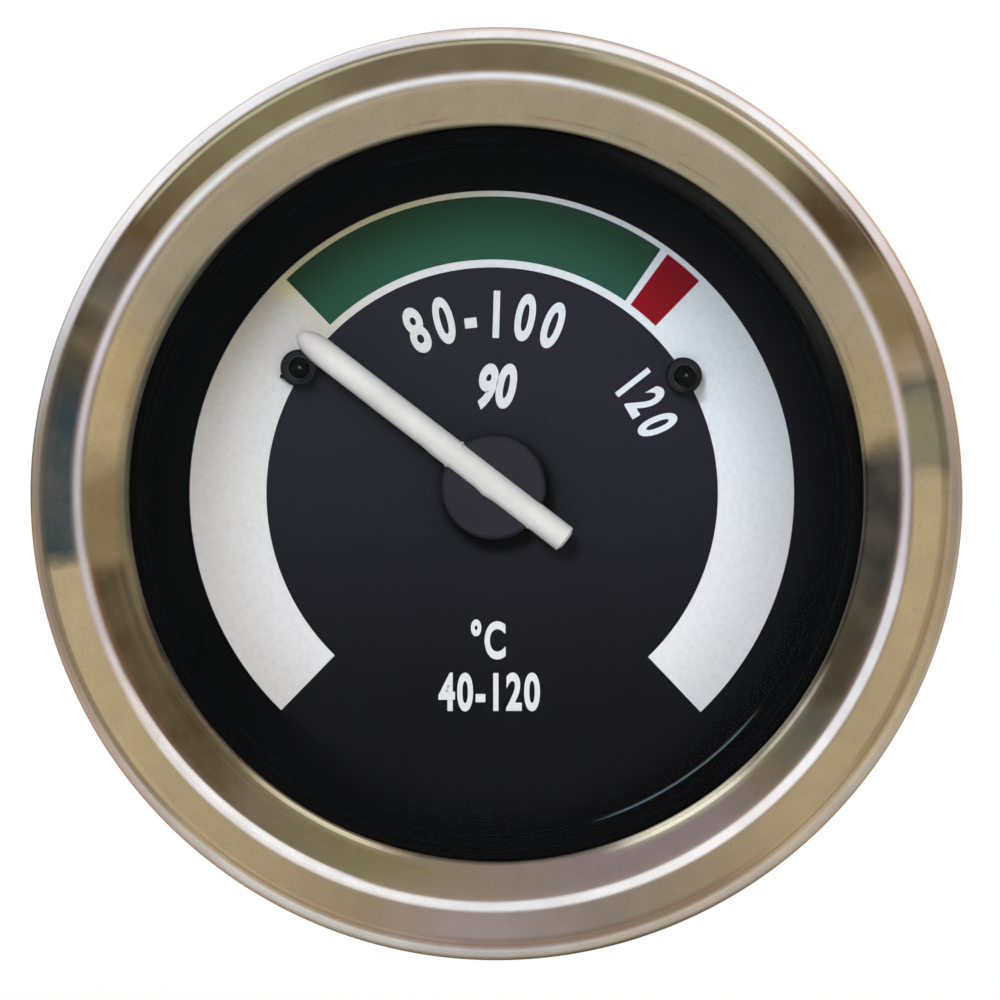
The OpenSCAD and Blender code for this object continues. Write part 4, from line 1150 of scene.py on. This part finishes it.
stud = threaded_stud("stud")
stud.location = at(-STUD_X, 0, 0)
settle(stud)
studs = pair("fixing_studs_threaded", stud)
fit(studs, "housing", "plated_steel", plated, "fixing_studs", sharp=25)

# %% Plain washers and hexagon nuts
washer_line = [(2.2, -34.8), (2.2, -34.0), (4.35, -34.0), (4.5, -34.15), (4.5, -34.65), (4.35, -34.8)]
washers = pair("plain_washers_punched", turn("washer", closed(washer_line), (-STUD_X, 0), 64))
fit(washers, "housing", "plated_steel", plated, "plain_washers")

HALF_NUT = 3.5      # half of the nut's width across its flats
deselect()
bpy.ops.mesh.primitive_cylinder_add(
    vertices=6, radius=HALF_NUT / math.cos(math.pi / 6) * MM, depth=2.2 * MM,
    location=at(-STUD_X, 0, -35.9), rotation=(math.pi / 2, math.pi / 6, 0))
hexagon = settle(bpy.context.object)
nut_line = [
    (2.04, -35.1), (2.3, -34.82), (3.5, -34.82), (4.1, -35.14), (4.1, -36.66), (3.5, -36.98),
    (2.3, -36.98), (2.04, -36.7),
]
combine(hexagon, turn("blank", closed(nut_line), (-STUD_X, 0), 64), "INTERSECT")
nuts = pair("hexagon_nuts_cut", hexagon)
fit(nuts, "housing", "plated_steel", plated, "hexagon_nuts")

# %% [markdown]
# ## Clamp
# A U-shaped strip pulls the gauge against the back of the panel. It is bent from plated steel, and
# two brass thumb nuts press it on through split spring washers. A thumb nut is turned, and its rim is
# knurled: here every second point of a cylinder is drawn inwards, and a turned blank then chamfers
# the teeth. The hub and the bore come with the blank.

# %% Bracket, spring washers and thumb nuts
soften("clamp_bracket", 0.16, "clamp", "plated_steel", plated)
soften("spring_washers", 0.08, "clamp", "spring_steel", spring)

deselect()
TEETH = 30
nut_middle = at(-STUD_X, 0, -42.9)
bpy.ops.mesh.primitive_cylinder_add(vertices=2 * TEETH, radius=5 * MM, depth=3 * MM,
                                    location=nut_middle, rotation=(math.pi / 2, 0, 0))
knurl = settle(bpy.context.object)
pick(knurl, "VERT", lambda p: round(math.atan2(p.y, p.x + STUD_X) / TURN * 2 * TEETH) % 2 == 1)
bpy.ops.transform.resize(value=(0.93, 1, 0.93), center_override=nut_middle)
bpy.ops.object.mode_set(mode="OBJECT")
rim_line = [(2.05, -41.42), (4.55, -41.42), (5.05, -41.9), (5.05, -43.9), (4.55, -44.38), (2.05, -44.38)]
combine(knurl, turn("blank", closed(rim_line), (-STUD_X, 0), 96), "INTERSECT")
grip_line = [
    (2.05, -44.3), (3.45, -44.3), (3.6, -44.45), (3.6, -46.15), (3.35, -46.4), (2.3, -46.4), (2.05, -46.15),
]
left_nut = joined("thumb_nut_left_knurled", knurl, turn("grip", closed(grip_line), (-STUD_X, 0), 64))
right_nut = copy_of(left_nut, "thumb_nut_right_knurled", at(2 * STUD_X, 0, 0))
fit(left_nut, "left_nut", "brass", brass, "thumb_nut_left")
fit(right_nut, "right_nut", "brass", brass, "thumb_nut_right")

# %% [markdown]
# ## Blades and lamp
# Three blades take the wires, held in a board that is riveted to the case. They are stamped, so their
# edges are slightly rounded and their noses are bevelled. The lamp sits in a thin sprung socket that
# pushes into the back: a brass cap, a glass with a round end, and a small blade of its own.

# %% Terminal board, blades and rivets
soften("terminal_board", 0.14, "housing", "board", paper_board)
for node in ("supply_blade", "sender_blade", "earth_blade"):
    soften(node, 0.12, "housing", "tinned_brass", tinned)
rivet_line = [
    (0, -36.1), (0.5, -36.1), (0.95, -35.98), (1.2, -35.8), (1.25, -35.6), (0.8, -35.6), (0.8, -33.2),
    (1.25, -33.2), (1.2, -33.0), (0.9, -32.75), (0, -32.7),
]
rivet = turn("rivet", rivet_line, (-4.5, -14), 32)
rivets = joined("board_rivets_set", rivet, copy_of(rivet, "rivet_right", at(9, 0, 0)))
fit(rivets, "housing", "brass", brass, "board_rivets")

# %% Lamp
lamp_axis = (0, 15.5)
soften("lamp_socket", 0.08, "lamp", "plated_steel", plated)
insulator_line = [(1.25, -42.95), (4.4, -42.95), (4.62, -42.75), (4.62, -41.6), (1.25, -41.6)]
insulator = turn("lamp_insulator_cut", closed(insulator_line), lamp_axis, 64)
fit(insulator, "lamp", "board", paper_board, "lamp_insulator")
soften("lamp_contact", 0.12, "lamp", "tinned_brass", tinned)
cap_line = [
    (0, -41.3), (1.3, -41.3), (1.7, -40.9), (4.2, -40.9), (4.6, -40.5), (4.6, -34.4), (4.65, -34.2),
    (4.6, -34.0), (4.4, -33.8), (4.4, -33.4), (0, -33.4),
]
fit(turn("bulb_cap_drawn", cap_line, lamp_axis, 64), "lamp", "brass", brass, "bulb_cap")
glass_line = [(3.6, -33.4), (3.9, -33.2), (4.05, -32.8)] + arc((0, -31.25), 4.05, 0, 90, 14)
bulb = turn("bulb_glass_blown", glass_line, lamp_axis, 64)
face_front(bulb)
modify(bulb, "SOLIDIFY", thickness=0.35 * MM, offset=-1)
bulb_clear, bulb_shader = start_finish("blown_bulb_glass")
haze = cloud(bulb_clear, add(bulb_clear, "TexCoord", out=3), 3.0)
feed(bulb_shader, {
    "Base Color": linear("8d908c"), "IOR": 1.5, "Alpha": 0.22,
    "Roughness": fade(bulb_clear, haze, 0.4, 0.7, 0.04, 0.15),
})
fit(bulb, "lamp", "clear_glass", bulb_clear, "bulb_glass")
